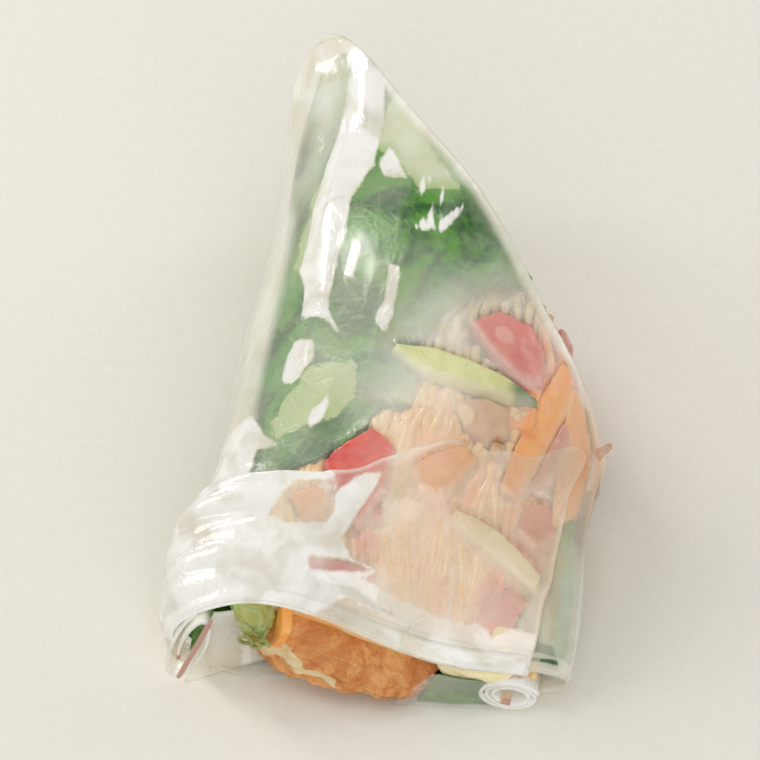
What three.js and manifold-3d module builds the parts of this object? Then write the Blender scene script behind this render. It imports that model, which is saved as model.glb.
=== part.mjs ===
// Half of a rice paper roll, cut on the slant, in millimetres.
// It lies on its flat underside with +Z up. +Y runs along the roll, from its folded end, where the
// paper is open and shows the fried tofu, to the tip of the slanted cut. The origin is under the
// middle of the box that holds the roll.
//
// Everything inside the paper is laid out in one full cross-section, x across and z up, at the
// roll's full height. The same layout narrows with the roll towards the folded end.
import * as THREE from "three";
import { mergeVertices } from "three/addons/utils/BufferGeometryUtils.js";
import Module from "manifold-3d";

const wasm = await Module();
wasm.setup();

// Driving dimensions of the roll.
const HALF_WIDTH = 22;
const HEIGHT = 32;
const MOUTH_HEIGHT = 14;
const TAPER_LENGTH = 55;
const CUT_ANGLE = THREE.MathUtils.degToRad(39.5); // between the cut and the roll's axis
const CUT_MIDDLE_Y = 57.3;
const TIP_Y = 96;

// The second turn of paper round the folded end makes a wider band there.
const BAND_BULGE = 1.6;
const BAND_LEAN = -1;
const BAND_MIDDLE_Y = 8;
const BAND_SPREAD = 9;
const SEAM_Y = 15.2; // where the second turn ends on the left of the top
const SEAM_SLANT = 5.8; // and how much further back it ends on the right
const SEAM_TURN = [-7, 9]; // from x, to x
const SEAM_FADE = [7, 14];
const SEAM_STEP = 0.45;
const BAND_SINK = 0.06; // the band starts this far inside the first turn
const MOUTH_Y = 2.2;
const MOUTH_SLANT = 0.08; // the right of the mouth lies further back
const MOUTH_DROOP = 11.7; // how far the top lip hangs down at its right
const DROOP_ACROSS = [-17, 12]; // from x, to x
const DROOP_LENGTH = 18;
const BEFORE_MOUTH_Y = -5; // hollows start here, so that they open at the mouth

// Layers, counted inwards from the outside of the paper, at the roll's full height.
const PAPER = 1.1;
const LEAF_OUTSIDE = 1.4;
const LEAF_INSIDE = 2.6;
const FILLING = 2.9;
const CLEARANCE = 0.35; // between pieces that would touch
const MOUTH_THINNING = 0.6; // layers are this much thinner at the mouth
const THINNING_LENGTH = 25;

// The form of a cross-section: where it is widest, and how square its halves are.
const WIDEST_AT = 0.42;
const LEFT_SQUARENESS = 2.2; // of the upper half, and this much more at the tip
const TIP_SQUARENESS = 0.8;
const TIP_TURN = [40, 82]; // from y, to y
const RIGHT_SQUARENESS = 1.75;
const LOWER_SQUARENESS = 2.6;
const SETTLING = 1.12; // above 1, the underside is pressed flat
const LUMP = 0.012;
const LUMP_START = [4, 20]; // the lumps grow from y to y

const SIDES = 32;
const STATIONS = 17;
const STATION_CROWDING = 1.25; // above 1, stations lie closer together near the mouth
const STRAND_STEPS = 3;

// ---------- the roll's own space ----------

function smooth(low, high, value) {
  return THREE.MathUtils.smoothstep(value, low, high);
}

function band(y) {
  return Math.exp(-(((y - BAND_MIDDLE_Y) / BAND_SPREAD) ** 2));
}

function topHeight(y) {
  const share = THREE.MathUtils.clamp(y / TAPER_LENGTH, 0, 1);
  return MOUTH_HEIGHT + (HEIGHT - MOUTH_HEIGHT) * Math.sin((Math.PI / 2) * share);
}

function halfWidth(y) {
  return HALF_WIDTH + BAND_BULGE * band(y);
}

function middleX(y) {
  return BAND_LEAN * band(y);
}

function thinning(y) {
  return THREE.MathUtils.lerp(MOUTH_THINNING, 1, smooth(0, THINNING_LENGTH, y));
}

function lump(y, angle) {
  const slow = Math.sin(0.21 * y + 2 * angle) + 0.7 * Math.sin(0.13 * y - 3 * angle + 1);
  return 1 + LUMP * slow * smooth(...LUMP_START, y);
}

// The top lip hangs lower on the right of the mouth.
function drooped(x, y, z) {
  const fall = MOUTH_DROOP * (1 - smooth(0, DROOP_LENGTH, y)) * smooth(...DROOP_ACROSS, x);
  return z - (fall * Math.max(z, 0)) / topHeight(y);
}

function squareness(y, across, up) {
  if (up < 0) return LOWER_SQUARENESS;
  return across < 0 ? LEFT_SQUARENESS + TIP_SQUARENESS * smooth(...TIP_TURN, y) : RIGHT_SQUARENESS;
}

// The point at an angle round the roll, some way in from the outside of the paper.
function skinPoint(y, angle, inset) {
  const depth = inset * thinning(y);
  const low = depth;
  const high = topHeight(y) - depth;
  const waist = low + WIDEST_AT * (high - low);
  const across = Math.cos(angle);
  const up = Math.sin(angle);
  const power = 2 / squareness(y, across, up);
  const swell = lump(y, angle);
  const x = middleX(y) + (halfWidth(y) * swell - depth) * Math.sign(across) * Math.abs(across) ** power;
  const z =
    up >= 0
      ? waist + (high - waist) * swell * up ** power
      : waist - (waist - low) * SETTLING * (-up) ** power;
  return new THREE.Vector3(x, y, drooped(x, y, Math.max(z, low)));
}

// A point of the full cross-section's layout, placed at a station along the roll.
function fillingPoint(x, y, z) {
  const depth = FILLING * thinning(y);
  const wide = (halfWidth(y) - depth) / (HALF_WIDTH - FILLING);
  const tall = (topHeight(y) - 2 * depth) / (HEIGHT - 2 * FILLING);
  const placedX = middleX(y) + x * wide;
  return new THREE.Vector3(placedX, y, drooped(placedX, y, depth + (z - FILLING) * tall));
}

// ---------- solids ----------

function warp(geometry, place) {
  const position = geometry.getAttribute("position");
  const point = new THREE.Vector3();
  for (let i = 0; i < position.count; i++) {
    const moved = place(point.fromBufferAttribute(position, i));
    position.setXYZ(i, moved.x, moved.y, moved.z);
  }
  return geometry;
}

function solidFrom(geometry) {
  const bare = geometry.clone();
  bare.deleteAttribute("normal");
  bare.deleteAttribute("uv");
  const merged = mergeVertices(bare, 1e-4);
  return new wasm.Manifold(
    new wasm.Mesh({
      numProp: 3,
      vertProperties: new Float32Array(merged.getAttribute("position").array),
      triVerts: new Uint32Array(merged.index.array),
    }),
  );
}

// Only the largest body of a solid, which drops loose scraps.
function largest(solid) {
  const bodies = solid.decompose();
  return bodies.reduce((best, body) => (body.volume() > best.volume() ? body : best));
}

// The whole roll, some way in from the outside of the paper, before it is cut.
function rollSolid(inset, fromY, toY = TIP_Y) {
  const unit = new THREE.CylinderGeometry(1, 1, 1, SIDES, STATIONS);
  const ring = ({ x, y, z }) => {
    const along = THREE.MathUtils.lerp(fromY, toY, (y + 0.5) ** STATION_CROWDING);
    const onSkin = skinPoint(along, Math.atan2(z, x), inset);
    const middle = new THREE.Vector3(middleX(along), along, WIDEST_AT * topHeight(along));
    return middle.lerp(onSkin, Math.hypot(x, z));
  };
  return solidFrom(warp(unit, ring));
}

// What is left on the roll's side of the slanted cut, or a little past it.
function cutRoll(solid, past = 0) {
  const normal = [Math.cos(CUT_ANGLE), Math.sin(CUT_ANGLE), 0];
  const offset = CUT_MIDDLE_Y * Math.sin(CUT_ANGLE) + past;
  return solid.trimByPlane([-normal[0], -normal[1], 0], -offset);
}

// The same for the mouth, at its slight slant.
function openMouth(solid, ahead = 0) {
  const across = Math.hypot(1, MOUTH_SLANT);
  return solid.trimByPlane([-MOUTH_SLANT / across, 1 / across, 0], MOUTH_Y / across - ahead);
}

// The roll's length on its axis up to the cut, at a place across it.
function cutY(x) {
  return CUT_MIDDLE_Y - x / Math.tan(CUT_ANGLE);
}

// ---------- outlines ----------

function outline(points) {
  return new THREE.Shape(points.map(([x, y]) => new THREE.Vector2(x, y)));
}

function middleOf(points) {
  return [0, 1].map((index) => points.reduce((sum, point) => sum + point[index], 0) / points.length);
}

// An outline with room left round it. Its corners move out further than its sides.
function grownPoints(points, by) {
  const [midX, midY] = middleOf(points);
  return points.map(([x, y]) => {
    const reach = Math.hypot(x - midX, y - midY);
    const scale = (reach + Math.SQRT2 * by) / reach;
    return [midX + (x - midX) * scale, midY + (y - midY) * scale];
  });
}

// An oval, squarer than an ellipse.
function oval(midX, midY, radiusX, radiusY, turn = 0, count = 10, squareness = 2.6) {
  return Array.from({ length: count }, (_, i) => {
    const angle = (2 * Math.PI * (i + 0.5)) / count;
    const x = radiusX * Math.sign(Math.cos(angle)) * Math.abs(Math.cos(angle)) ** (2 / squareness);
    const y = radiusY * Math.sign(Math.sin(angle)) * Math.abs(Math.sin(angle)) ** (2 / squareness);
    return [midX + x * Math.cos(turn) - y * Math.sin(turn), midY + x * Math.sin(turn) + y * Math.cos(turn)];
  });
}

// A straight or bowed strip between two points, with square ends.
function strip(from, to, width, bow = 0, pieces = 1) {
  const [dx, dy] = [to[0] - from[0], to[1] - from[1]];
  const reach = Math.hypot(dx, dy);
  const [sideX, sideY] = [-dy / reach, dx / reach];
  const edge = (side) =>
    Array.from({ length: pieces + 1 }, (_, i) => {
      const share = i / pieces;
      const off = side * (width / 2) + bow * 4 * share * (1 - share);
      return [from[0] + dx * share + sideX * off, from[1] + dy * share + sideY * off];
    });
  return [...edge(-1), ...edge(1).reverse()];
}

// ---------- fillings ----------

// A filling that lies along the roll: an outline in the full cross-section, carried from one
// station to another.
function lengthwise(points, fromY, toY, steps) {
  const geometry = new THREE.ExtrudeGeometry(outline(points), { depth: 1, steps, bevelEnabled: false });
  const along = (share) => THREE.MathUtils.lerp(toY, fromY, share);
  return solidFrom(warp(geometry, ({ x, y, z }) => fillingPoint(x, along(z), y)));
}

// A filling that runs to the slanted cut, or a little past it.
function strand(points, fromY, past = 0, steps = STRAND_STEPS) {
  const wellPast = 6;
  const farY = cutY(Math.min(...points.map((p) => p[0]))) + wellPast;
  return cutRoll(lengthwise(points, fromY, farY, steps), past);
}

// One noodle, a bent rod through points of the full cross-section's layout.
function noodle(points) {
  const path = new THREE.CatmullRomCurve3(points.map(([x, y, z]) => fillingPoint(x, y, z)));
  const rod = new THREE.CylinderGeometry(NOODLE_RADIUS, NOODLE_RADIUS, 1, NOODLE_SIDES, 5);
  const up = new THREE.Vector3(0, 0, 1);
  const place = ({ x, y, z }) => {
    const along = path.getTangentAt(y + 0.5);
    const side = along.clone().cross(up).normalize();
    const out = side.clone().cross(along);
    return path.getPointAt(y + 0.5).addScaledVector(side, x).addScaledVector(out, z);
  };
  return solidFrom(warp(rod, place));
}

// Noodles side by side on the top of a bed, each wandering a little, by a fixed rule.
function noodles({ count, fromX, toX, fromY, toY }) {
  const topOf = (x) => NOODLE_TOP - NOODLE_FALL * x * x;
  return Array.from({ length: count }, (_, i) => {
    const middle = THREE.MathUtils.lerp(fromX, toX, i / (count - 1));
    const points = [0, 0.33, 0.66, 1].map((share, k) => {
      const x = middle + NOODLE_WANDER * Math.sin(2.3 * i + 1.9 * k);
      return [x, THREE.MathUtils.lerp(fromY, toY, share), topOf(x) + 0.3 * Math.cos(i + 2 * k)];
    });
    return noodle(points);
  });
}

// A rounded block that lies along the roll, squarer than a ball.
function loaf({ x, z, radiusX, radiusZ, fromY, toY, squareness }) {
  const ball = new THREE.SphereGeometry(1, 14, 8);
  const power = 2 / squareness;
  const swollen = (share, radius) => radius * Math.sign(share) * Math.abs(share) ** power;
  const place = (point) =>
    fillingPoint(
      x + swollen(point.x, radiusX),
      THREE.MathUtils.lerp(fromY, toY, 0.5 + swollen(point.y, 0.5)),
      z + swollen(point.z, radiusZ),
    );
  return solidFrom(warp(ball, place));
}

// The same with room left round it. Its height is given in the full cross-section, which is squeezed
// to well under half at the mouth, so the room above and below it is more than the clearance.
function grownLoaf(shape) {
  return {
    ...shape,
    radiusX: shape.radiusX + CLEARANCE,
    radiusZ: shape.radiusZ + 3 * CLEARANCE,
    fromY: shape.fromY - 2 * CLEARANCE,
    toY: shape.toY + CLEARANCE,
  };
}

// A slice that lies against the inside of the paper: an outline seen from above, between two depths.
function tile(points, depth, grow = 0) {
  const grown = grow ? grownPoints(points, grow) : points;
  const column = new THREE.ExtrudeGeometry(outline(grown), { depth: 3 * HEIGHT, bevelEnabled: false });
  const outside = rollSolid(LEAF_OUTSIDE - grow, BEFORE_MOUTH_Y);
  const inside = rollSolid(LEAF_OUTSIDE + depth + grow, BEFORE_MOUTH_Y);
  const [x, y] = middleOf(points);
  const upper = solidFrom(column).trimByPlane([0, 0, 1], drooped(x, y, WIDEST_AT * topHeight(y)));
  return largest(outside.subtract(inside).intersect(upper));
}

// ---------- the paper ----------

// The second turn of paper, a step in the outside where the band starts. It dies out on the right.
function paperBand() {
  const unit = new THREE.CylinderGeometry(1, 1, 1, SIDES, 5);
  const geometry = warp(unit, ({ x, y, z }) => {
    const angle = Math.atan2(z, x);
    const across = HALF_WIDTH * Math.cos(angle);
    const along = (y + 0.5) * (SEAM_Y + SEAM_SLANT * smooth(...SEAM_TURN, across));
    const step = SEAM_STEP * Math.max(0, Math.sin(angle)) * (1 - smooth(...SEAM_FADE, across));
    const onSkin = skinPoint(along, angle, BAND_SINK - step);
    const middle = new THREE.Vector3(middleX(along), along, WIDEST_AT * topHeight(along));
    return middle.lerp(onSkin, Math.hypot(x, z));
  });
  return solidFrom(geometry);
}

// A tube of paper at a corner of the mouth, of oval section, wider at its open front.
function cornerTube({ x, z, frontY, backY, radiusX, radiusZ, turn }, grow = 0) {
  const unit = new THREE.CylinderGeometry(1, 1, 1, 14, 2);
  const geometry = warp(unit, (point) => {
    const share = point.y + 0.5;
    const narrow = 1 - TUBE_NARROWING * share;
    const offX = point.x * (radiusX * narrow + grow);
    const offZ = point.z * (radiusZ * narrow + grow);
    return new THREE.Vector3(
      x + offX * Math.cos(turn) - offZ * Math.sin(turn),
      THREE.MathUtils.lerp(frontY - grow, backY + grow, share),
      Math.max(z + offX * Math.sin(turn) + offZ * Math.cos(turn), 0),
    );
  });
  return solidFrom(geometry);
}

const LOWER_LIP_GAP = [-11, 6.5, 5.6]; // from x, to x, and back to y
const LOWER_LIP_HEIGHT = 2.5;
const TUBE_NARROWING = 0.45; // how much less wide a tube is at its back
const LEFT_TUBE = { x: -20.6, z: 5.4, frontY: 0.2, backY: 11, radiusX: 3.2, radiusZ: 5.2, turn: 0.2 };
const LEFT_TUBE_HOLLOW = { ...LEFT_TUBE, frontY: -3, backY: 7, radiusX: 2.4, radiusZ: 4.4 };
const RIGHT_TUBE = { x: 16.2, z: 2.4, frontY: 2.3, backY: 12, radiusX: 3.8, radiusZ: 2.3, turn: 0.06 };
const RIGHT_TUBE_HOLLOW = { ...RIGHT_TUBE, frontY: -1, backY: 6, radiusX: 2.8, radiusZ: 1.2 };

function cornerTubes(grow) {
  return cornerTube(LEFT_TUBE, grow).add(cornerTube(RIGHT_TUBE, grow));
}

// What is missing from the underside of the mouth, where the tofu hangs out.
function lowerLip(grow) {
  const [minX, maxX, backY] = LOWER_LIP_GAP;
  const width = maxX - minX + 2 * grow;
  const box = new THREE.BoxGeometry(width, 2 * (backY + grow), 2 * (LOWER_LIP_HEIGHT + grow));
  return solidFrom(box.translate((minX + maxX) / 2, 0, 0));
}

function makePaper() {
  const shell = rollSolid(0, 0).add(paperBand()).subtract(rollSolid(PAPER, BEFORE_MOUTH_Y));
  const hollows = cornerTube(LEFT_TUBE_HOLLOW).add(cornerTube(RIGHT_TUBE_HOLLOW));
  return largest(openMouth(cutRoll(shell)).subtract(lowerLip(0)).add(cornerTubes(0)).subtract(hollows));
}

// ---------- the leaf that lines the paper ----------

const LEAF_FRONT_Y = 0;
const LEAF_PAST_MOUTH = 1.6;
const LEAF_PAST_CUT = 0.7;
// Where the leaf stops on the top, seen from above: the rest of the top is bare of leaf.
const LEAF_EDGE = [
  [-16.5, -10],
  [-16, 12],
  [-13.8, 15.6],
  [-10.4, 17.4],
  [-5.8, 20],
  [-3.2, 24.2],
  [0.5, 24.8],
  [0.5, 27.8],
  [-2.5, 30.8],
  [0.8, 33.8],
  [2.2, 37.5],
  [7.3, 42.4],
  [12, 45.5],
  [60, 60],
  [60, -10],
];
// Its right edge stands this high, seen from the side, as y and z.
const LEAF_SIDE_EDGE = [
  [-10, 3],
  [5, 5.5],
  [9.2, 9],
  [12.4, 11.6],
  [20.6, 14.8],
  [28.8, 15.6],
  [70, 24],
  [70, 60],
  [-10, 60],
];

function leafWindow() {
  const fromAbove = new THREE.ExtrudeGeometry(outline(LEAF_EDGE), { depth: 80, bevelEnabled: false });
  const fromSide = new THREE.ExtrudeGeometry(outline(LEAF_SIDE_EDGE), { depth: 120, bevelEnabled: false });
  fromSide.rotateX(Math.PI / 2).rotateZ(Math.PI / 2).translate(-60, 0, 0);
  return solidFrom(fromAbove).intersect(solidFrom(fromSide));
}

function makeLeaf() {
  const shell = rollSolid(LEAF_OUTSIDE, LEAF_FRONT_Y).subtract(rollSolid(LEAF_INSIDE, BEFORE_MOUTH_Y));
  const open = openMouth(cutRoll(shell, LEAF_PAST_CUT), LEAF_PAST_MOUTH);
  return largest(open.subtract(leafWindow()).subtract(cornerTubes(CLEARANCE)).subtract(lowerLip(CLEARANCE)));
}

// ---------- what lies under the paper where the leaf stops ----------

// Their outlines as seen from above, and how deep they reach.
const TILES = {
  tomato_slice_back: {
    points: [
      [6, 36],
      [9.1, 38.8],
      [12, 38.6],
      [13.5, 36],
      [13.2, 32.4],
      [11.6, 31.9],
      [8.5, 33.8],
    ],
    depth: 2.6,
    color: 0xd4553f,
  },
  cucumber_strip: {
    points: [
      [-2.5, 31.3],
      [8, 30.9],
      [12.2, 30.2],
      [13.6, 29.6],
      [11.8, 28.5],
      [6.7, 28.3],
      [1.7, 28.6],
    ],
    depth: 1.6,
    color: 0xd9dd9c,
  },
  carrot_stick_long: {
    points: [
      [15.9, 36.4],
      [14.7, 31.6],
      [12.2, 20.2],
      [12.8, 18.4],
      [14.1, 18.4],
      [15, 20.6],
      [16.5, 27.6],
      [16.8, 33.2],
    ],
    depth: 2.4,
    color: 0xef8f4c,
  },
  onion_strip_side: {
    points: [
      [17.7, 29.4],
      [17.4, 27.2],
      [16.1, 23],
      [15.7, 20.6],
      [16.9, 21.6],
      [18.5, 27],
    ],
    depth: 1.6,
    color: 0xd9a8a0,
  },
  mushroom_slice: {
    points: [
      [5.8, 25.8],
      [8.6, 27.1],
      [11, 26.9],
      [11.5, 24.8],
      [9.3, 23.4],
      [7.2, 23.9],
    ],
    depth: 1.8,
    color: 0xa87b50,
  },
  tomato_dice: {
    points: [
      [-8.2, 17],
      [-7.3, 18.3],
      [-3.6, 21],
      [-0.6, 19.2],
      [-1.1, 14.6],
      [-3.5, 11.6],
      [-6, 13.8],
    ],
    depth: 2.6,
    color: 0xd63d2e,
  },
  carrot_dice: {
    points: [
      [1.8, 17.2],
      [4, 19.3],
      [7.3, 21],
      [8.6, 20],
      [6.8, 16.8],
      [5.1, 15.2],
      [3.3, 15.6],
    ],
    depth: 2.2,
    color: 0xee9440,
  },
  carrot_slice_left: {
    points: [
      [-11.5, 13.4],
      [-8.6, 14.4],
      [-7.3, 13],
      [-7.6, 11.9],
      [-9.8, 11.6],
    ],
    depth: 1.6,
    color: 0xe39a4a,
  },
  omelette_strip: {
    points: [
      [7.2, 14],
      [8.9, 14.5],
      [17.7, 12.3],
      [17.2, 11],
      [8.6, 12.9],
    ],
    depth: 1.8,
    color: 0xf0e3a8,
  },
  tomato_slice_side: {
    points: [
      [16, 18.8],
      [18.2, 19.4],
      [18.5, 16.4],
      [16.4, 14.2],
      [14.7, 15],
      [15, 17.4],
    ],
    depth: 2,
    color: 0xe07c66,
  },
  tomato_slice_front: {
    points: [
      [11.4, 7.8],
      [14.4, 9.8],
      [16.6, 9.6],
      [15.1, 7.2],
      [12.9, 5.9],
      [11.1, 6.4],
    ],
    depth: 1.6,
    color: 0xe58d78,
  },
  pepper_strip: {
    points: [
      [-8.2, 6.9],
      [-1.2, 7.9],
      [-1.6, 7],
      [-7.5, 5.4],
    ],
    depth: 1.2,
    color: 0xd9596a,
  },
};

// ---------- the filling ----------

const BUNDLE_FRONT_Y = 27;

// Sticks set close together on a grid, each a little out of line, by a fixed rule.
function stickOutlines({ fromX, toX, fromZ, toZ, columns, rows, width, height }) {
  const sticks = [];
  for (let row = 0; row < rows; row++) {
    for (let column = 0; column < columns; column++) {
      const turn = 0.35 * Math.sin(2.1 * column + 1.7 * row);
      const x = THREE.MathUtils.lerp(fromX, toX, (column + 0.5 + 0.2 * (row % 2)) / columns);
      const z = THREE.MathUtils.lerp(fromZ, toZ, (row + 0.5) / rows) + 0.4 * Math.sin(1.9 * column);
      sticks.push({
        points: oval(x, z, width / 2, height / 2, turn, 4, 8),
        past: 0.9 + 0.8 * Math.sin(3.3 * column + 2.3 * row),
      });
    }
  }
  return sticks;
}

// A smaller core with the sticks that show at the cut fused to it.
function bundle(corePoints, sticks) {
  const core = strand(corePoints, BUNDLE_FRONT_Y, -1.2);
  return sticks.reduce((all, { points, past }) => all.add(strand(points, BUNDLE_FRONT_Y + 4, past, 1)), core);
}

const CARROTS = {
  fromX: 6.5,
  toX: 14.5,
  fromZ: 4.9,
  toZ: 19.6,
  columns: 4,
  rows: 6,
  width: 2,
  height: 2.3,
};
const CARROT_CORE = [
  [6.3, 5],
  [12.6, 4.8],
  [14.8, 9.5],
  [14.8, 13],
  [13.8, 18.4],
  [9, 19.9],
  [3.8, 19.8],
  [3.8, 18.2],
  [6.3, 17],
];
const CUCUMBERS = {
  fromX: -11.8,
  toX: -6.6,
  fromZ: 11.2,
  toZ: 20.6,
  columns: 3,
  rows: 4,
  width: 1.6,
  height: 2.2,
};
const CUCUMBER_CORE = [
  [-11.4, 11.4],
  [-7, 11.4],
  [-7, 20.2],
  [-11.4, 20.2],
];
// The ruffled lettuce at the tip, a wavy sheet on edge.
const FRILL = [
  [-13.4, 5.2],
  [-15.2, 7.2],
  [-14.2, 9.6],
  [-16.4, 12],
  [-14.6, 14.6],
  [-16.4, 17.4],
  [-14.8, 20],
  [-15.2, 21.4],
  [-13.6, 21.2],
  [-13.3, 20],
  [-14.8, 17.4],
  [-12.8, 14.6],
  [-14.4, 12.2],
  [-12.7, 9.6],
  [-13.6, 7.2],
  [-12.9, 5.9],
];
// The inner fold of the leaf, a crescent against the left side.
const LEAF_FOLD = [
  [-15.6, 6],
  [-16.9, 6.6],
  [-18.3, 10],
  [-18.7, 15],
  [-17.6, 20.4],
  [-14.6, 24.4],
  [-9.6, 26.6],
  [-9.9, 25.3],
  [-14, 22.9],
  [-16.9, 19.6],
  [-17.8, 15],
  [-17.4, 10.6],
];
// The noodles that fill the roll's top and its front behind the tofu.
const NOODLE_RADIUS = 0.85;
const NOODLE_SIDES = 5;
const NOODLE_WANDER = 1.3;
const NOODLE_TOP = 27.7; // the height of the middle noodle in the full cross-section
const NOODLE_FALL = 0.029; // and how the others lie lower, by the square of their x
const BACK_BED = [
  [-6.4, 26.1],
  [-3.2, 26],
  [-1.8, 24.2],
  [4.6, 24.2],
  [11.6, 22.3],
  [13.6, 21.2],
  [14.4, 21.9],
  [12.8, 23.8],
  [7.8, 26.2],
  [0, 27.4],
  [-6, 27],
];
const BACK_NOODLES = { count: 6, fromX: -3.6, toX: 12.6, fromY: 28.5, toY: 66 };
// The browned tofu lies in the front of the roll and bulges out of the mouth.
const TOFU = { x: -2.3, z: 12.4, radiusX: 10.6, radiusZ: 9.2, fromY: -0.6, toY: 22, squareness: 3 };
const LETTUCE = { x: -11.9, z: 22.2, radiusX: 2.2, radiusZ: 6, fromY: 0.4, toY: 12, squareness: 3 };
const OMELETTE_FOLD = { x: 10.8, z: 21.6, radiusX: 3.8, radiusZ: 4.4, fromY: 1.9, toY: 9, squareness: 4 };
const CARROT_SLIVER = strip([-9, 16.4], [-8.8, 26], 0.9);
const SLIVER_Y = [0.9, 8];
const FRONT_BED = [
  [-16.6, 17],
  [-8, 17],
  [-2, 17],
  [4, 17],
  [10, 17],
  [16.4, 17],
  [14.8, 21.6],
  [9.6, 25.4],
  [3, 27.2],
  [-5, 27],
  [-11.4, 24.2],
  [-15, 20.4],
];
const FRONT_BED_Y = [4.5, 26];
// The noodles below them, beside and behind the tofu.
const LOWER_BED = [
  [-16.6, 17.2],
  [-17.6, 13],
  [-16.6, 7],
  [-13.6, 4.2],
  [0, 4],
  [12.4, 4.2],
  [17, 8],
  [17.6, 12],
  [16.4, 17.2],
];
const LOWER_BED_Y = [9, 26.6];
const FRONT_NOODLES = { count: 6, fromX: -10.5, toX: 14.6, fromY: 6, toY: 25.4 };

const STRANDS = {
  tofu_cube_a: { points: oval(4.6, 14.2, 1.5, 2.1, 0.1), past: 0.6, color: 0xe9cfa0 },
  tofu_cube_b: { points: oval(4.2, 7.8, 1.6, 3, -0.1), past: 0.9, color: 0xe9cfa0 },
  tofu_cube_c: { points: oval(0.9, 17.4, 2.2, 1.4, 0.2), past: 1.1, color: 0xe9cfa0 },
  tomato_wedge: { points: oval(0.6, 13.1, 2.1, 2.3, 0.1), past: 0.8, color: 0xd8412f },
  mushroom_a: { points: oval(-0.2, 7, 2.3, 3.1, 0.2), past: 1, color: 0xa3693b },
  mushroom_b: { points: oval(-3.9, 13.9, 1.9, 3, -0.1), past: 1.4, color: 0xb57b45 },
  mushroom_c: { points: oval(-5.3, 7, 2.1, 3, -0.2), past: 0.7, color: 0xa06a40 },
  daikon_chunk: { points: oval(-10.2, 7, 2.3, 2.4, 0.1), past: 0.5, color: 0xe8ecd0 },
  daikon_wedge: { points: oval(16.6, 12.4, 1, 3, 0.1, 8), past: -0.5, color: 0xe5e3d6 },
  onion_arc: { points: strip([12, 21.2], [3.4, 22.6], 0.9, 0.5, 3), past: 0.8, color: 0xb06a9c },
  onion_wedge: { points: strip([2.2, 20.5], [-5.4, 18.3], 1.6, 0.3, 3), past: 1.8, color: 0xd9b8cc },
  onion_strip: { points: strip([-2.8, 24.9], [-8.8, 23.9], 0.9, 0.2, 2), past: 0.6, color: 0xb06a9c },
  onion_end_high: { points: oval(15.5, 20, 1.1, 1, -0.4, 6), past: 3, color: 0xc07a9a },
  onion_end_low: { points: oval(17, 17.1, 0.9, 1.4, 0.2, 6), past: 2.4, color: 0xb0608e },
  carrot_stick_top: { points: strip([0.4, 22.6], [-11.4, 22.2], 1.4, 0.4, 2), past: 1.6, color: 0xe9813d },
};

// All the slices against the paper, with room left round them.
function tilesGrown() {
  return Object.values(TILES)
    .map(({ points, depth }) => tile(points, depth, CLEARANCE))
    .reduce((all, solid) => all.add(solid));
}

// A piece less the room that others take up.
function blocked(solid, ...others) {
  return largest(others.reduce((left, other) => left.subtract(other), solid));
}

// ---------- the group ----------

const roll = new THREE.Group();

function addNode(name, solid, color, roughness) {
  const made = solid.getMesh();
  const geometry = new THREE.BufferGeometry();
  geometry.setAttribute("position", new THREE.BufferAttribute(made.vertProperties, 3));
  geometry.setIndex(new THREE.BufferAttribute(made.triVerts, 1));
  const mesh = new THREE.Mesh(geometry, new THREE.MeshStandardMaterial({ color, roughness, metalness: 0 }));
  mesh.name = name;
  roll.add(mesh);
}

const envelope = rollSolid(FILLING, LEAF_FRONT_Y);
const tiles = tilesGrown();
const tubes = cornerTubes(CLEARANCE);
const lettuceRoom = loaf(grownLoaf(LETTUCE));
const sliverGrown = grownPoints(CARROT_SLIVER, CLEARANCE);
const sliverRoom = lengthwise(sliverGrown, SLIVER_Y[0] - CLEARANCE, SLIVER_Y[1] + CLEARANCE, 2);
const foldRoom = loaf(grownLoaf(OMELETTE_FOLD));
const mouthRoom = [tubes, lettuceRoom, sliverRoom, foldRoom];

addNode("rice_paper", makePaper(), 0xf1efe6, 0.25);
addNode("leaf_lining", blocked(makeLeaf(), tiles, ...mouthRoom), 0x4f8a45, 0.45);
addNode("leaf_fold", largest(strand(LEAF_FOLD, BUNDLE_FRONT_Y, 0.4).intersect(envelope)), 0xa9c48c, 0.45);
for (const [name, { points, depth, color }] of Object.entries(TILES)) {
  addNode(name, tile(points, depth), color, 0.4);
}
for (const [name, { points, past, color }] of Object.entries(STRANDS)) {
  const piece = strand(points, BUNDLE_FRONT_Y, past).intersect(envelope);
  addNode(name, blocked(piece, tiles), color, 0.5);
}
const carrots = bundle(CARROT_CORE, stickOutlines(CARROTS)).intersect(envelope);
addNode("carrot_shreds", blocked(carrots, tiles), 0xee7f36, 0.5);
const cucumbers = bundle(CUCUMBER_CORE, stickOutlines(CUCUMBERS)).intersect(envelope);
addNode("cucumber_shreds", cucumbers, 0xdde6b4, 0.5);
addNode("lettuce_frill", strand(FRILL, BUNDLE_FRONT_Y, 1.2), 0xb9d28a, 0.45);
const backBed = noodles(BACK_NOODLES).reduce(
  (all, rod) => all.add(cutRoll(rod, 0.7)),
  strand(BACK_BED, BUNDLE_FRONT_Y, 0.2),
);
addNode("noodles_back", blocked(backBed.intersect(envelope), tiles), 0xede3d2, 0.35);
addNode("lettuce_piece", blocked(loaf(LETTUCE).intersect(envelope), tubes), 0x9fae5a, 0.45);
const sliver = lengthwise(CARROT_SLIVER, ...SLIVER_Y, 2);
addNode("carrot_sliver", blocked(sliver, lettuceRoom, tiles), 0xe0a050, 0.5);
addNode("omelette_fold", blocked(loaf(OMELETTE_FOLD).intersect(envelope), tubes, tiles), 0xe6cf8a, 0.5);
addNode("fried_tofu", blocked(loaf(TOFU), ...mouthRoom), 0xc77f42, 0.6);
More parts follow.
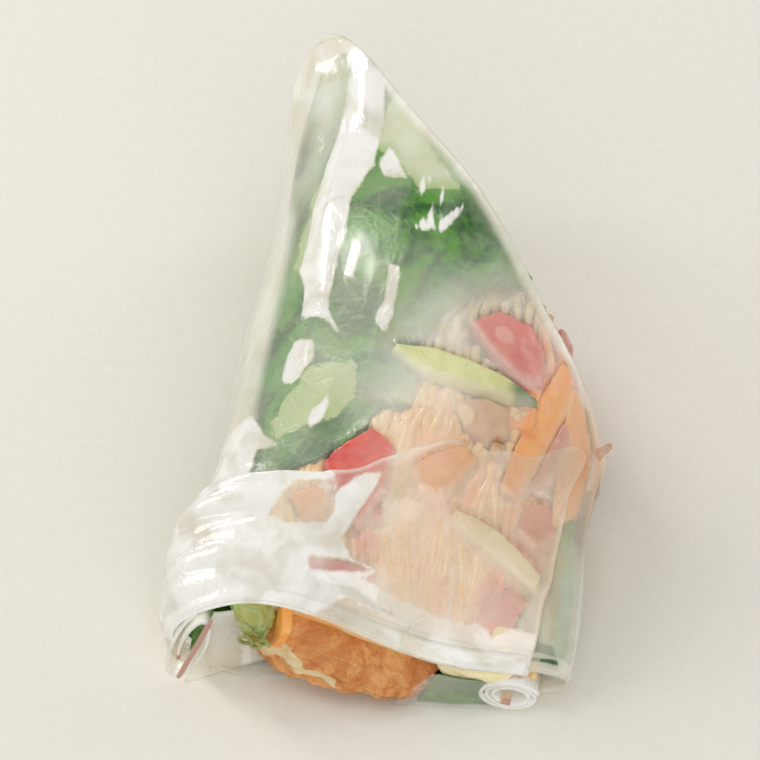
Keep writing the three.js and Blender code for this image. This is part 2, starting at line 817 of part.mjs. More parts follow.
const frontBed = noodles(FRONT_NOODLES).reduce(
  (all, rod) => all.add(rod),
  lengthwise(FRONT_BED, ...FRONT_BED_Y, 6).add(lengthwise(LOWER_BED, ...LOWER_BED_Y, 4)),
);
const frontRoom = [tiles, loaf(grownLoaf(TOFU)), ...mouthRoom];
addNode("noodles_front", blocked(frontBed.intersect(envelope), ...frontRoom), 0xe9cdb0, 0.4);

// The middle of the group's own box goes over the origin, and its underside to z = 0.
const box = new THREE.Box3().setFromObject(roll);
const middle = box.getCenter(new THREE.Vector3());
roll.position.set(-middle.x, -middle.y, -box.min.z);

export default roll;
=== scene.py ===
"""Half of a fresh rice paper roll, cut on the slant, lying on a pale table.

Sizes are in millimetres in the roll's own space: x across, y along the roll from its folded end to
the tip of the cut, z up. RollForm.place turns such a point into metres in the shared frame.

On the roll, a station is a place along y, an angle is a direction round it, 0 to the right and a
quarter turn up, and an inset is a depth in from the outside of the paper. A layout is a plan of the
full cross-section, in x and z, which RollForm.filling fits into the roll at a station.
"""

import logging
import math
from dataclasses import dataclass
from enum import Enum
from functools import cached_property, lru_cache
from math import cos, hypot, pi, sin, tau
from typing import Callable, Iterable, Sequence

import bmesh
import bpy
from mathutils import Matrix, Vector, noise

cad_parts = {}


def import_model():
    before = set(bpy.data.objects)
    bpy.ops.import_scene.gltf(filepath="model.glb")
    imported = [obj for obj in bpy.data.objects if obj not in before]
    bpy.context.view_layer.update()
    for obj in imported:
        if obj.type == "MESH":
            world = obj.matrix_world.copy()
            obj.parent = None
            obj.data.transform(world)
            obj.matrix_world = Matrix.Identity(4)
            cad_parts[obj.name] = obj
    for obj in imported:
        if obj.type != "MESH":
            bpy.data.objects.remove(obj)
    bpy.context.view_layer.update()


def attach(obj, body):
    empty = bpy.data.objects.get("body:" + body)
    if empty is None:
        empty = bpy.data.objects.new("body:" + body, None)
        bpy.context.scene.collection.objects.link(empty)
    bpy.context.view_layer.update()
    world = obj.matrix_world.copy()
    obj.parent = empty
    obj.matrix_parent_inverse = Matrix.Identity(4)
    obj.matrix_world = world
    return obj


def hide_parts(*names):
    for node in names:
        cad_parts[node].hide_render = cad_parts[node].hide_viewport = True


LOG = logging.getLogger("rice_paper_roll")
MM = 0.001
PAINTS = ("milk", "skin", "patch")  # numbers painted on points, which the finishes read
NO_PATCH = -2.0  # a patch number well outside any patch

Mesh = bmesh.types.BMesh
Material = bpy.types.Material
Point = tuple[float, float]
Place = tuple[float, float, float]
Paint = dict[str, float]
Dot = tuple[Vector, Paint]  # a point of a piece with its painted numbers
Bend = Callable[[float, float], Dot]
Shape = Callable[[Vector], Dot]
Colour = tuple[int, int, int]


# ---------- numbers ----------


def clipped(value: float, low: float = 0.0, high: float = 1.0) -> float:
    """A value kept between two limits."""
    return min(max(value, low), high)


def smooth(low: float, high: float, value: float) -> float:
    """A soft step from 0 at low to 1 at high."""
    share = clipped((value - low) / (high - low))
    return share * share * (3 - 2 * share)


def lerp(start: float, end: float, share: float) -> float:
    """The value that lies a share of the way from start to end."""
    return start + (end - start) * share


def hump(value: float, middle: float, spread: float) -> float:
    """A bell that is 1 at the middle and falls off with the spread."""
    return math.exp(-(((value - middle) / spread) ** 2))


def signed_power(value: float, power: float) -> float:
    """The power of a number's size, with its sign kept."""
    return math.copysign(abs(value) ** power, value)


def rough(x: float, y: float, z: float = 0.0) -> float:
    """Smooth noise between about -1 and 1, the same on every run."""
    return noise.noise(Vector((x, y, z)))


def round_rough(size: float, angle: float, seed: float) -> float:
    """Smooth noise that closes on itself after a full turn."""
    return rough(size * cos(angle), size * sin(angle), seed)


def along(stops: Sequence[Point], value: float) -> float:
    """Reads a soft curve through stops, pairs of rising value and result, level beyond both ends."""
    if value <= stops[0][0]:
        return stops[0][1]
    for (low, first), (high, last) in zip(stops, stops[1:]):
        if value <= high:
            return lerp(first, last, smooth(low, high, value))
    return stops[-1][1]


def curve(points: Sequence[Point], share: float) -> Point:
    """The place a share of the way along the smooth curve through points at even steps."""
    spot = clipped(share) * (len(points) - 1)
    low = min(int(spot), len(points) - 2)
    rest = spot - low
    around = points[max(low - 1, 0)], points[low], points[low + 1], points[min(low + 2, len(points) - 1)]
    x, y = (
        b + 0.5 * (c - a) * rest + 0.5 * (2 * a - 5 * b + 4 * c - d) * rest**2
        + 0.5 * (3 * b - a - 3 * c + d) * rest**3
        for a, b, c, d in zip(*around)
    )
    return x, y


def off_side(x: float, y: float, start: Point, end: Point) -> float:
    """The distance from a place to a straight side."""
    dx, dy = end[0] - start[0], end[1] - start[1]
    share = clipped(((x - start[0]) * dx + (y - start[1]) * dy) / (dx * dx + dy * dy))
    return hypot(x - start[0] - share * dx, y - start[1] - share * dy)


# ---------- sections ----------


@dataclass(frozen=True)
class Outline:
    """A closed outline in a plane, given by its corners."""

    points: tuple[Point, ...]

    @cached_property
    def middle(self) -> Point:
        """The mean of the corners."""
        xs, ys = zip(*self.points)
        return sum(xs) / len(xs), sum(ys) / len(ys)

    @cached_property
    def half(self) -> Point:
        """Half the size of the square that at() turns into the outline."""
        size = sum(math.dist(p, self.middle) for p in self.points) / len(self.points)
        return size, size

    @cached_property
    def sides(self) -> list[tuple[Point, Point]]:
        """Every side, from corner to corner."""
        return list(zip(self.points, self.points[1:] + self.points[:1]))

    @cached_property
    def box(self) -> tuple[float, float, float, float]:
        """The lowest and highest x and y."""
        xs, ys = zip(*self.points)
        return min(xs), max(xs), min(ys), max(ys)

    def depth(self, x: float, y: float, far: float = 2.0) -> float:
        """How far a place lies inside the outline, below zero outside, measured up to far."""
        left, right, low, high = self.box
        if not (left - far < x < right + far and low - far < y < high + far):
            return -far
        inside, nearest = False, far
        for start, end in self.sides:
            if (start[1] > y) != (end[1] > y):
                across = (end[0] - start[0]) * (y - start[1]) / (end[1] - start[1]) + start[0]
                inside = inside != (x < across)
            nearest = min(nearest, off_side(x, y, start, end))
        return nearest if inside else -nearest

    def reach(self, angle: float) -> float:
        """The distance from the middle to the outline in one direction."""
        run, rise = cos(angle), sin(angle)
        best = 0.0
        for (ax, ay), (bx, by) in self.sides:
            dx, dy = bx - ax, by - ay
            left, low = ax - self.middle[0], ay - self.middle[1]
            cross = run * dy - rise * dx
            if abs(cross) > 1e-9 and -1e-6 <= (left * rise - low * run) / cross <= 1 + 1e-6:
                best = max(best, (left * dy - low * dx) / cross)
        return best

    def at(self, across: float, up: float) -> Point:
        """Bends a place in the square of the outline's own size into the outline."""
        angle = math.atan2(up, across)
        out = self.reach(angle) * max(abs(across), abs(up)) / self.half[0]
        return self.middle[0] + out * cos(angle), self.middle[1] + out * sin(angle)


@dataclass(frozen=True)
class Strip:
    """A long narrow section: the line down its middle, and its width at even steps along it."""

    line: tuple[Point, ...]
    widths: tuple[float, ...]

    @cached_property
    def middle(self) -> Point:
        """The place halfway along."""
        return curve(self.line, 0.5)

    @cached_property
    def half(self) -> Point:
        """Half the strip's length and half its greatest width."""
        return sum(math.dist(a, b) for a, b in zip(self.line, self.line[1:])) / 2, max(self.widths) / 2

    @cached_property
    def outline(self) -> Outline:
        """The strip's outline, with nine corners down each long side."""
        steps = [lerp(-self.half[0], self.half[0], i / 8) for i in range(9)]
        low, high = ([self.at(step, up) for step in steps] for up in (-self.half[1], self.half[1]))
        return Outline(tuple(low + high[::-1]))

    def depth(self, x: float, y: float, far: float = 2.0) -> float:
        """How far a place lies inside the strip, below zero outside."""
        return self.outline.depth(x, y, far)

    def at(self, across: float, up: float) -> Point:
        """Bends a place in the straight strip along the strip's line."""
        share = clipped(0.5 + across / (2 * self.half[0]))
        (ax, ay), (bx, by) = curve(self.line, share - 0.02), curve(self.line, share + 0.02)
        x, y = curve(self.line, share)
        steps = [(i / (len(self.widths) - 1), width) for i, width in enumerate(self.widths)]
        off = up * along(steps, share) / max(self.widths) / hypot(bx - ax, by - ay)
        return x - (by - ay) * off, y + (bx - ax) * off


def oval(x: float, z: float, wide: float, tall: float, turn: float = 0.0, square: float = 2.6) -> Outline:
    """Draws an oval section.

    Args:
        x: Its middle.
        z: Its middle.
        wide: Half its width.
        tall: Half its height.
        turn: How far it is turned, in radians.
        square: 2 for an ellipse, more for a squarer form.

    Returns:
        Its outline.
    """
    points = []
    for i in range(24):
        angle = tau * (i + 0.5) / 24
        across = wide * signed_power(cos(angle), 2 / square)
        up = tall * signed_power(sin(angle), 2 / square)
        points.append((x + across * cos(turn) - up * sin(turn), z + across * sin(turn) + up * cos(turn)))
    return Outline(tuple(points))


# ---------- the roll's own space ----------


@dataclass(frozen=True)
class RollForm:
    """The form that every piece of the roll follows."""

    shift_x: float = 0.9355
    shift_y: float = -41.6334
    half: float = 22.0
    height: float = 32.0
    mouth_height: float = 14.0
    taper: float = 55.0
    cut_angle: float = math.radians(39.5)
    cut_middle: float = 57.3
    mouth_y: float = 2.2
    mouth_slant: float = 0.08
    filling_depth: float = 2.9
    widest_at: float = 0.42
    tip_y: float = 81.0
    tip_round: float = 1.6
    band_rise: float = 1.6
    unevenness: float = 0.012
    droop: float = 11.7
    belly: float = 1.12

    def band(self, y: float) -> float:
        """How much of the second turn's bulge there is at a station."""
        return hump(y, 8.0, 9.0)

    def top(self, y: float) -> float:
        """The roll's height at a station."""
        rise = sin(pi / 2 * clipped(y / self.taper))
        return self.mouth_height + (self.height - self.mouth_height) * rise

    def half_width(self, y: float) -> float:
        """Half the roll's width at a station."""
        return self.half + self.band_rise * self.band(y)

    def thinning(self, y: float) -> float:
        """How thin the layers are at a station, as a share of their full thickness."""
        return lerp(0.6, 1.0, smooth(0, 25, y))

    def lump(self, y: float, angle: float) -> float:
        """The roll's uneven swelling."""
        slow = sin(0.21 * y + 2 * angle) + 0.7 * sin(0.13 * y - 3 * angle + 1)
        return 1 + self.unevenness * slow * smooth(4, 20, y)

    def drooped(self, x: float, y: float, z: float) -> float:
        """A height after the top lip has sunk at the right of the mouth."""
        fall = self.droop * (1 - smooth(0, 18, y)) * smooth(-17, 12, x)
        return z - fall * max(z, 0.0) / self.top(y)

    def squareness(self, y: float, across: float, up: float) -> float:
        """How square one quarter of the cross-section is."""
        over = 2.2 + 0.8 * smooth(40, 82, y) if across < 0 else 1.75
        return 2.6 if up < 0 else over

    def skin(self, y: float, angle: float, inset: float) -> Vector:
        """The point of a layer at a station, in one direction round the roll."""
        depth = inset * self.thinning(y)
        high = self.top(y) - depth
        waist = depth + self.widest_at * (high - depth)
        across, up = cos(angle), sin(angle)
        power = 2 / self.squareness(y, across, up)
        swell = self.lump(y, angle)
        x = -self.band(y) + (self.half_width(y) * swell - depth) * signed_power(across, power)
        if up >= 0:
            z = waist + (high - waist) * swell * up**power
        else:
            z = waist - (waist - depth) * self.belly * (-up) ** power
        return Vector((x, y, self.drooped(x, y, max(z, depth))))

    def under(self, x: float, y: float, inset: float) -> Vector:
        """The point at a depth under the top of the roll, at a place seen from above."""
        angle = pi / 2
        for _ in range(3):
            wide = self.half_width(y) * self.lump(y, angle) - inset * self.thinning(y)
            share = clipped((x + self.band(y)) / wide, -1.0, 1.0)
            angle = math.acos(signed_power(share, self.squareness(y, share, 1.0) / 2))
        return self.skin(y, angle, inset)

    def filling(self, x: float, y: float, z: float) -> Vector:
        """The point of the roll where a place of the layout comes at a station."""
        depth = self.filling_depth * self.thinning(y)
        wide = (self.half_width(y) - depth) / (self.half - self.filling_depth)
        tall = (self.top(y) - 2 * depth) / (self.height - 2 * self.filling_depth)
        out = x * wide - self.band(y)
        return Vector((out, y, self.drooped(out, y, depth + (z - self.filling_depth) * tall)))

    def cut_y(self, x: float, past: float = 0.0) -> float:
        """Where the slanted cut is at a place across the roll, or a little past it."""
        end = self.cut_middle + past / sin(self.cut_angle) - x / math.tan(self.cut_angle)
        return end - self.tip_round * math.log1p(math.exp((end - self.tip_y) / self.tip_round))

    @lru_cache(maxsize=None)
    def cut_on(self, angle: float, inset: float, past: float = 0.0) -> float:
        """The station where one line of a layer meets the cut, or a little past it."""
        end = self.cut_middle
        for _ in range(8):
            end = lerp(end, self.cut_y(self.skin(max(end, 8.0), angle, inset).x, past), 0.8)
        return end

    def mouth(self, x: float) -> float:
        """Where the mouth is at a place across the roll."""
        return self.mouth_y + self.mouth_slant * x

    @lru_cache(maxsize=None)
    def mouth_on(self, angle: float) -> float:
        """The station where one line of the skin meets the mouth."""
        start = self.mouth_y
        for _ in range(8):
            start = self.mouth(self.skin(start, angle, 0).x)
        return start

    def beside(self, point: Vector) -> Vector:
        """The roll's middle line beside a point."""
        return Vector((0.0, point.y, self.widest_at * self.top(point.y)))

    def place(self, point: Vector) -> Vector:
        """A point of the roll in metres in the shared frame."""
        return Vector((point.x + self.shift_x, point.y + self.shift_y, point.z)) * MM


FORM = RollForm()


# ---------- shader expressions ----------


class Wire:
    """One socket's value in a material, which can be added, multiplied and so on."""

    def __init__(self, tree: "Tree", socket: bpy.types.NodeSocket) -> None:
        """Keeps the socket and the tree it is in."""
        self.tree, self.socket = tree, socket

    def _math(self, operation: str, first: object, second: object) -> "Wire":
        """Adds one Math node."""
        return self.tree.node("ShaderNodeMath", {"operation": operation}, {0: first, 1: second})

    def __add__(self, other: object) -> "Wire":
        """This value plus another."""
        return self._math("ADD", self, other)

    def __sub__(self, other: object) -> "Wire":
        """This value less another."""
        return self._math("SUBTRACT", self, other)

    def __rsub__(self, other: object) -> "Wire":
        """A number less this value."""
        return self._math("SUBTRACT", other, self)

    def __mul__(self, other: object) -> "Wire":
        """This value times another."""
        return self._math("MULTIPLY", self, other)

    __radd__ = __add__
    __rmul__ = __mul__

    def clamped(self) -> "Wire":
        """This value kept between 0 and 1."""
        return self.tree.node("ShaderNodeClamp", {}, {"Value": self})

    def step(self, low: float, high: float) -> "Wire":
        """A soft step of this value from 0 at low to 1 at high."""
        sockets = {"Value": self, "From Min": low, "From Max": high}
        return self.tree.node("ShaderNodeMapRange", {"interpolation_type": "SMOOTHSTEP"}, sockets)


class Tree:
    """The nodes of one material."""

    def __init__(self, name: str) -> None:
        """Starts an empty material."""
        self.material = bpy.data.materials.new(name)
        self.material.use_nodes = True
        self.nodes = self.material.node_tree.nodes
        self.nodes.clear()

    def node(
        self, kind: str, settings: dict[str, object], sockets: dict[str | int, object], output: str | int = 0
    ) -> Wire:
        """Adds a node.

        Args:
            kind: The node's type.
            settings: What is set on the node itself.
            sockets: The values or links of its inputs.
            output: Which output is wanted.

        Returns:
            That output.
        """
        made = self.nodes.new(kind)
        for name, value in settings.items():
            setattr(made, name, value)
        for name, value in sockets.items():
            if isinstance(value, Wire):
                self.material.node_tree.links.new(value.socket, made.inputs[name])
            else:
                made.inputs[name].default_value = value
        return Wire(self, made.outputs[output])

    def millimetres(self, stretch: Place = (1, 1, 1)) -> Wire:
        """The place on the piece in millimetres, stretched along the axes if wanted."""
        sockets = {0: self.node("ShaderNodeTexCoord", {}, {}, "Object"), 1: [s / MM for s in stretch]}
        return self.node("ShaderNodeVectorMath", {"operation": "MULTIPLY"}, sockets)

    def cloud(self, place: Wire, size: float, detail: float = 2.0, warp: float = 0.0) -> Wire:
        """Noise with patches of about a size in millimetres."""
        sockets = {"Vector": place, "Scale": 1 / size, "Detail": detail, "Distortion": warp}
        return self.node("ShaderNodeTexNoise", {}, sockets)

    def painted(self, name: str) -> Wire:
        """A number painted on the piece's points."""
        return self.node("ShaderNodeAttribute", {"attribute_name": name}, {}, "Fac")

    def blend(self, factor: object, first: object, second: object) -> Wire:
        """One colour turning into another, each a Wire or three numbers up to 255."""
        first, second = (c if isinstance(c, Wire) else tone(c) for c in (first, second))
        return self.node("ShaderNodeMix", {"data_type": "RGBA"}, {0: factor, 6: first, 7: second}, 2)

    def bump(self, height: Wire, depth: float) -> Wire:
        """A normal from a height between 0 and 1 that stands for a depth in millimetres."""
        return self.node("ShaderNodeBump", {}, {"Height": height, "Distance": depth * MM})

    def finish(self, sockets: dict[str, object]) -> Material:
        """Ends the material in one Principled shader, from the values or links of its inputs."""
        surface = self.node("ShaderNodeBsdfPrincipled", {}, sockets)
        out = self.nodes.new("ShaderNodeOutputMaterial")
        self.material.node_tree.links.new(surface.socket, out.inputs["Surface"])
        return self.material

    def moist(
        self, colour: Wire, dull: Wire, normal: Wire, glow: tuple[float, Place, float], coat: Point
    ) -> Material:
        """Ends the material as moist food, which lets some light in.

        Args:
            colour: Its colour.
            dull: Its roughness.
            normal: Its bumps.
            glow: How much light it lets in, how far each colour goes, and that distance's size.
            coat: How strong the wet film on it is, and how rough.

        Returns:
            The material.
        """
        return self.finish(
            {
                "Base Color": colour,
                "Roughness": dull.clamped(),
                "Normal": normal,
                "Subsurface Weight": glow[0],
                "Subsurface Radius": glow[1],
                "Subsurface Scale": glow[2] * MM,
                "Coat Weight": coat[0],
                "Coat Roughness": coat[1],
            }
        )


def tone(colour: Colour) -> tuple[float, float, float, float]:
    """A colour of red, green and blue up to 255, as the shader wants it."""
    red, green, blue = (((v / 255 + 0.055) / 1.055) ** 2.4 if v > 10 else v / 3294.6 for v in colour)
    return red, green, blue, 1.0


# ---------- finishes ----------


@dataclass(frozen=True)
class Flesh:
    """A cut vegetable or another filling: its flesh, its darker patches and its skin."""

    name: str
    slot: str
    main: Colour
    deep: Colour
    skin: Colour
    patch: float = 2.4
    grain: float = 0.35
    roughness: float = 0.32
    depth: float = 0.08
    glow: float = 0.15
    coat: float = 0.5

    def material(self) -> Material:
        """Flesh mottled by two sizes of noise, with skin where the piece's points say so."""
        tree = Tree(self.name)
        place = tree.millimetres()
        patches = tree.cloud(place, self.patch, 3.0, 0.6)
        grain = tree.cloud(place, self.grain)
        flesh = tree.blend((patches * 0.7 + grain * 0.3).step(0.38, 0.66), self.main, self.deep)
        edge = (tree.painted("skin") + (patches - 0.5) * 0.3).step(0.35, 0.65)
        dull = self.roughness + (grain - 0.5) * 0.2
        normal = tree.bump(grain * 0.6 + patches * 0.4, self.depth)
        glow = self.glow, (1.0, 0.6, 0.4), 1.2
        return tree.moist(tree.blend(edge, flesh, self.skin), dull, normal, glow, (self.coat, 0.1))


@dataclass(frozen=True)
class NoodleFinish:
    """Rice noodles, tinted by what lies next to them."""

    name: str
    slot: str
    pale: Colour
    deep: Colour
    orange: Colour = (250, 158, 70)
    rose: Colour = (240, 152, 124)

    def material(self) -> Material:
        """Two pale tones, orange and rose where the points say so, under a wet gloss."""
        tree = Tree(self.name)
        place = tree.millimetres()
        patches = tree.cloud(place, 4.5, 3.0, 0.8)
        fine = tree.cloud(place, 0.5)
        colour = tree.blend(patches.step(0.38, 0.62), self.pale, self.deep)
        for name, tint in (("milk", self.orange), ("skin", self.rose)):
            share = (tree.painted(name) + (patches - 0.5) * 0.7).step(0.3, 0.7)
            colour = tree.blend(share, colour, tint)
        glow = 0.3, (1.0, 0.8, 0.6), 1.0
        return tree.moist(colour, 0.3 + (fine - 0.5) * 0.2, tree.bump(fine, 0.05), glow, (0.5, 0.12))


@dataclass(frozen=True)
class LeafFinish:
    """A fresh leaf with paler veins."""

    name: str
    slot: str
    blade: Colour
    dark: Colour
    vein: Colour
    under: Colour = (176, 194, 132)
    gloss: float = 0.7

    def material(self) -> Material:
        """A blade in two greens, a net of veins, ribs and pale patches where the points say so."""
        tree = Tree(self.name)
        place = tree.millimetres()
        patches = tree.cloud(place, 7.0, 4.0, 1.0)
        small = tree.cloud(place, 2.2, 3.0, 0.6)
        fine = tree.cloud(place, 0.45)
        settings = {"feature": "DISTANCE_TO_EDGE"}
        net = 1 - tree.node("ShaderNodeTexVoronoi", settings, {"Vector": place, "Scale": 0.5}).step(0.0, 0.16)
        rib = tree.painted("skin")
        blade = tree.blend((patches * 0.75 + small * 0.25).step(0.42, 0.6), self.blade, self.dark)
        blade = tree.blend(net * 0.1, blade, self.vein)
        pale = (tree.painted("patch") + (small - 0.5) * 2.2 + (fine - 0.5) * 0.6).step(-0.15, 0.25)
        blade = tree.blend(pale, blade, self.under)
        colour = tree.blend(rib.step(0.1, 0.9), blade, self.vein)
        normal = tree.bump(patches * 0.5 + small * 0.4 - net * 0.12 + rib + fine * 0.2, 0.22)
        glow = 0.1, (0.4, 1.0, 0.3), 0.8
        return tree.moist(colour, 0.34 + (fine - 0.5) * 0.25, normal, glow, (self.gloss, 0.1))


@dataclass(frozen=True)
class BrownedFinish:
    """Fried tofu: browned and blistered, with pale streaks where the crust is thin."""

    name: str = "fried_tofu"
    slot: str = "fried_tofu"
    gold: Colour = (236, 170, 96)
    brown: Colour = (214, 132, 60)
    blister: Colour = (190, 104, 46)
    streak: Colour = (238, 214, 164)
    burnt: Colour = (104, 58, 36)

    def material(self) -> Material:
        """Crust in several tones, pale streaks and burnt ends where the points say so."""
        tree = Tree(self.name)
        place = tree.millimetres()
        patches = tree.cloud(place, 4.2, 4.0, 1.4)
        blisters = tree.cloud(place, 1.3, 3.0, 0.8)
        fine = tree.cloud(place, 0.4, 3.0)
        crust = tree.blend(patches.step(0.4, 0.6), self.gold, self.brown)
        crust = tree.blend(blisters.step(0.52, 0.7) * 0.5, crust, self.blister)
        pale = (tree.painted("skin") + (blisters - 0.5) * 1.1).step(0.35, 0.6)
        crust = tree.blend(pale, crust, self.streak)
        burnt = (tree.painted("milk") + (blisters - 0.5) * 0.6).step(0.4, 0.7)
        crust = tree.blend(burnt, crust, self.burnt)
        normal = tree.bump(fine * 0.35 + blisters * 0.65, 0.5)
        return tree.moist(crust, 0.4 + (fine - 0.5) * 0.3, normal, (0.12, (1.0, 0.6, 0.3), 1.0), (0.35, 0.2))


@dataclass(frozen=True)
class PaperFinish:
    """Wet rice paper: milky where it is thick or stands off, and clear where it clings."""

    name: str = "rice_paper"
    slot: str = "rice_paper"
    milk: Colour = (249, 247, 238)
    cream: Colour = (236, 231, 212)
    # colour of the white places: milky folds and air blisters, and painted highlights
    white: Colour = (252, 251, 246)
    shade: Colour = (226, 221, 206)
    juice: Colour = (238, 180, 122)
    rolled: Colour = (196, 150, 136)
    white_cover: float = 0.88

    def material(self) -> Material:
        """A glossy film whose cover comes from the points and from soft clouds.

        White lies on folds and air blisters, partly as painted highlights, juice over the fillings,
        and pink-brown on rolled edges.
        """
        tree = Tree(self.name)
        place = tree.millimetres()
        clouds = tree.cloud(place, 5.0, 3.0, 0.7)
        wide = tree.cloud(place, 13.0, 2.0, 0.4)
        fine = tree.cloud(place, 0.8, 3.0)
        creases = tree.cloud(tree.millimetres((1, 0.35, 1)), 1.9, 2.0, 1.2)
        # the white places: milky folds and air blisters, and painted highlights on the wet paper
        white = (tree.painted("patch") + (creases - 0.5) * 0.5 + (fine - 0.5) * 0.4).step(-0.18, 0.22)
        cover = tree.painted("milk") + (clouds - 0.5) * 0.2 + (wide - 0.5) * 0.3 + (fine - 0.5) * 0.1
        colour = tree.blend(clouds.step(0.4, 0.62), self.milk, self.cream)
        shaded = tree.blend((wide * 0.4 + clouds * 0.6).step(0.44, 0.64), self.white, self.shade)
        stain = tree.painted("skin")
        colour = tree.blend(stain, tree.blend(white, colour, shaded), self.juice)
        return tree.finish(
            {
                "Base Color": tree.blend(stain.step(0.86, 0.94), colour, self.rolled),
                "Alpha": (cover + (self.white_cover - cover) * white).clamped(),
                "Roughness": (0.12 + (fine - 0.5) * 0.12).clamped(),
                "Normal": tree.bump(creases * 0.8 + fine * 0.2, 0.25),
                "IOR": 1.5,
                "Specular IOR Level": 0.5,
                "Coat Weight": 1.0,
                "Coat Roughness": 0.06,
            }
        )


class Finishes(Enum):
    """Every finish on the roll, one for each kind of filling."""

    PAPER = PaperFinish()
    LEAF = LeafFinish("leaf_dark", "leaf", (86, 148, 48), (36, 92, 26), (140, 176, 90))
    FOLD = LeafFinish("leaf_fold", "leaf_pale", (156, 192, 112), (112, 158, 74), (226, 234, 196), gloss=0.3)
    FRILL = LeafFinish("leaf_frill", "leaf_pale", (196, 216, 132), (122, 164, 76), (228, 236, 184), gloss=0.3)
    OLIVE = LeafFinish("leaf_olive", "leaf_pale", (176, 178, 96), (134, 142, 66), (204, 202, 134), gloss=0.4)
    TOMATO = Flesh("tomato", "tomato", (230, 76, 54), (212, 50, 36), (232, 136, 120), glow=0.25)
    TOMATO_SOFT = Flesh("tomato_soft", "tomato", (226, 112, 96), (214, 92, 78), (232, 150, 134))
    TOMATO_PALE = Flesh("tomato_pale", "tomato", (236, 148, 122), (228, 124, 100), (220, 108, 88))
    CARROT = Flesh("carrot", "carrot", (250, 150, 66), (236, 118, 42), (250, 174, 100), 1.8, 0.3)
    CARROT_PALE = Flesh("carrot_pale", "carrot", (252, 181, 90), (247, 159, 70), (250, 186, 106), 3.0)
    CARROT_SOFT = Flesh("carrot_soft", "carrot", (250, 190, 118), (246, 170, 94), (250, 186, 106), 4.0)
    CUCUMBER = Flesh("cucumber", "cucumber", (226, 226, 158), (208, 212, 132), (84, 120, 46))
    SHREDS = Flesh("cucumber_shreds", "cucumber", (226, 230, 190), (206, 216, 158), (104, 142, 72))
    ONION = Flesh("onion", "onion", (244, 228, 232), (230, 204, 216), (158, 84, 138), coat=0.6)
    ONION_PINK = Flesh("onion_pink", "onion", (226, 172, 156), (212, 146, 136), (182, 92, 120))
    MUSHROOM = Flesh("mushroom", "mushroom", (178, 114, 62), (128, 74, 36), (228, 198, 146), 2.0, coat=0.8)
    MUSHROOM_PALE = Flesh("mushroom_pale", "mushroom", (210, 164, 114), (188, 134, 88), (230, 204, 164), 2.0)
    OMELETTE = Flesh("omelette", "omelette", (252, 238, 192), (246, 224, 160), (232, 202, 126))
    TOFU = Flesh("tofu", "tofu", (240, 212, 160), (228, 190, 130), (196, 138, 76), 1.6, coat=0.2)
    NOODLE = NoodleFinish("noodle", "noodles", (226, 206, 168), (202, 178, 134))
    NOODLE_WARM = NoodleFinish("noodle_warm", "noodles", (253, 218, 160), (250, 194, 124))
    DAIKON = Flesh("daikon", "daikon", (234, 234, 216), (218, 222, 198), (242, 242, 230))
    PEPPER = Flesh("pepper", "pepper", (240, 146, 144), (230, 124, 126), (232, 132, 132))
    BROWNED = BrownedFinish()


# ---------- meshes ----------


def new_mesh() -> tuple[Mesh, dict[str, bmesh.types.BMLayerItem]]:
    """An empty mesh and its painted numbers."""
    mesh = bmesh.new()
    return mesh, {name: mesh.verts.layers.float.new(name) for name in PAINTS}


def sheet(columns: int, rows: int, bend: Bend, weld: bool = False) -> Mesh:
    """Bends a grid into a form.

    Args:
        columns: Faces across.
        rows: Faces along.
        bend: From shares across and along to a point and its painted numbers.
        weld: True where edges or poles meet and are joined.

    Returns:
        The mesh.
    """
    mesh, layers = new_mesh()
    bmesh.ops.create_grid(mesh, x_segments=columns, y_segments=rows, size=0.5)
    for vert in mesh.verts:
        point, paint = bend(clipped(vert.co.x + 0.5), clipped(vert.co.y + 0.5))
        for name, value in paint.items():
            vert[layers[name]] = value
        vert.co = point
    if weld:
        bmesh.ops.remove_doubles(mesh, verts=mesh.verts, dist=1e-4)
    return mesh


def block(cells: tuple[int, int, int], half: Sequence[float], radius: float, shape: Shape) -> Mesh:
    """Bends a box with rounded edges into a form.

    Args:
        cells: Faces along each of its three sides.
        half: Half its size each way.
        radius: How round its edges are.
        shape: From a point of the box to a point of the piece and its painted numbers.

    Returns:
        The closed mesh, with more of its faces near its edges.
    """
    mesh, layers = new_mesh()
    bmesh.ops.create_cube(mesh, size=2.0)
    for axis, count in enumerate(cells):
        edges = [e for e in mesh.edges if abs(e.verts[0].co[axis] - e.verts[1].co[axis]) > 1e-4]
        bmesh.ops.subdivide_edges(mesh, edges=edges, cuts=count - 1, use_grid_fill=True)
    radius = min(radius, *half)
    for vert in mesh.verts:
        crowded = [math.copysign(1 - (1 - min(abs(c), 1.0)) ** 1.4, c) for c in vert.co]
        spot = Vector([c * h for c, h in zip(crowded, half)])
        core = Vector([clipped(c, radius - h, h - radius) for c, h in zip(spot, half)])
        if (spot - core).length > 1e-6:
            spot = core + (spot - core).normalized() * radius
        point, paint = shape(spot)
        for name, value in paint.items():
            vert[layers[name]] = value
        vert.co = point
    bmesh.ops.recalc_face_normals(mesh, faces=mesh.faces)
    return mesh


def tube(path: Sequence[Vector], radius: float, paint: Callable[[Vector], Paint]) -> Mesh:
    """A closed round strand down a path, with the numbers that paint gives at its points."""
    last = len(path) - 1
    rings = []
    for row, centre in enumerate(path):
        ahead = (path[min(row + 1, last)] - path[max(row - 1, 0)]).normalized()
        side = ahead.cross(Vector((0, 0, 1))).normalized()
        size = radius * (0.0, 0.75, 1.0)[min(row, last - row, 2)]
        rings.append((centre, side * size, side.cross(ahead) * size, paint(centre)))

    def bend(u: float, v: float) -> Dot:
        """A point round the strand and along it."""
        centre, side, over, marks = rings[round(v * last)]
        return centre + side * cos(tau * u) + over * sin(tau * u), marks

    mesh = sheet(9, last, bend, weld=True)
    bmesh.ops.recalc_face_normals(mesh, faces=mesh.faces)
    return mesh


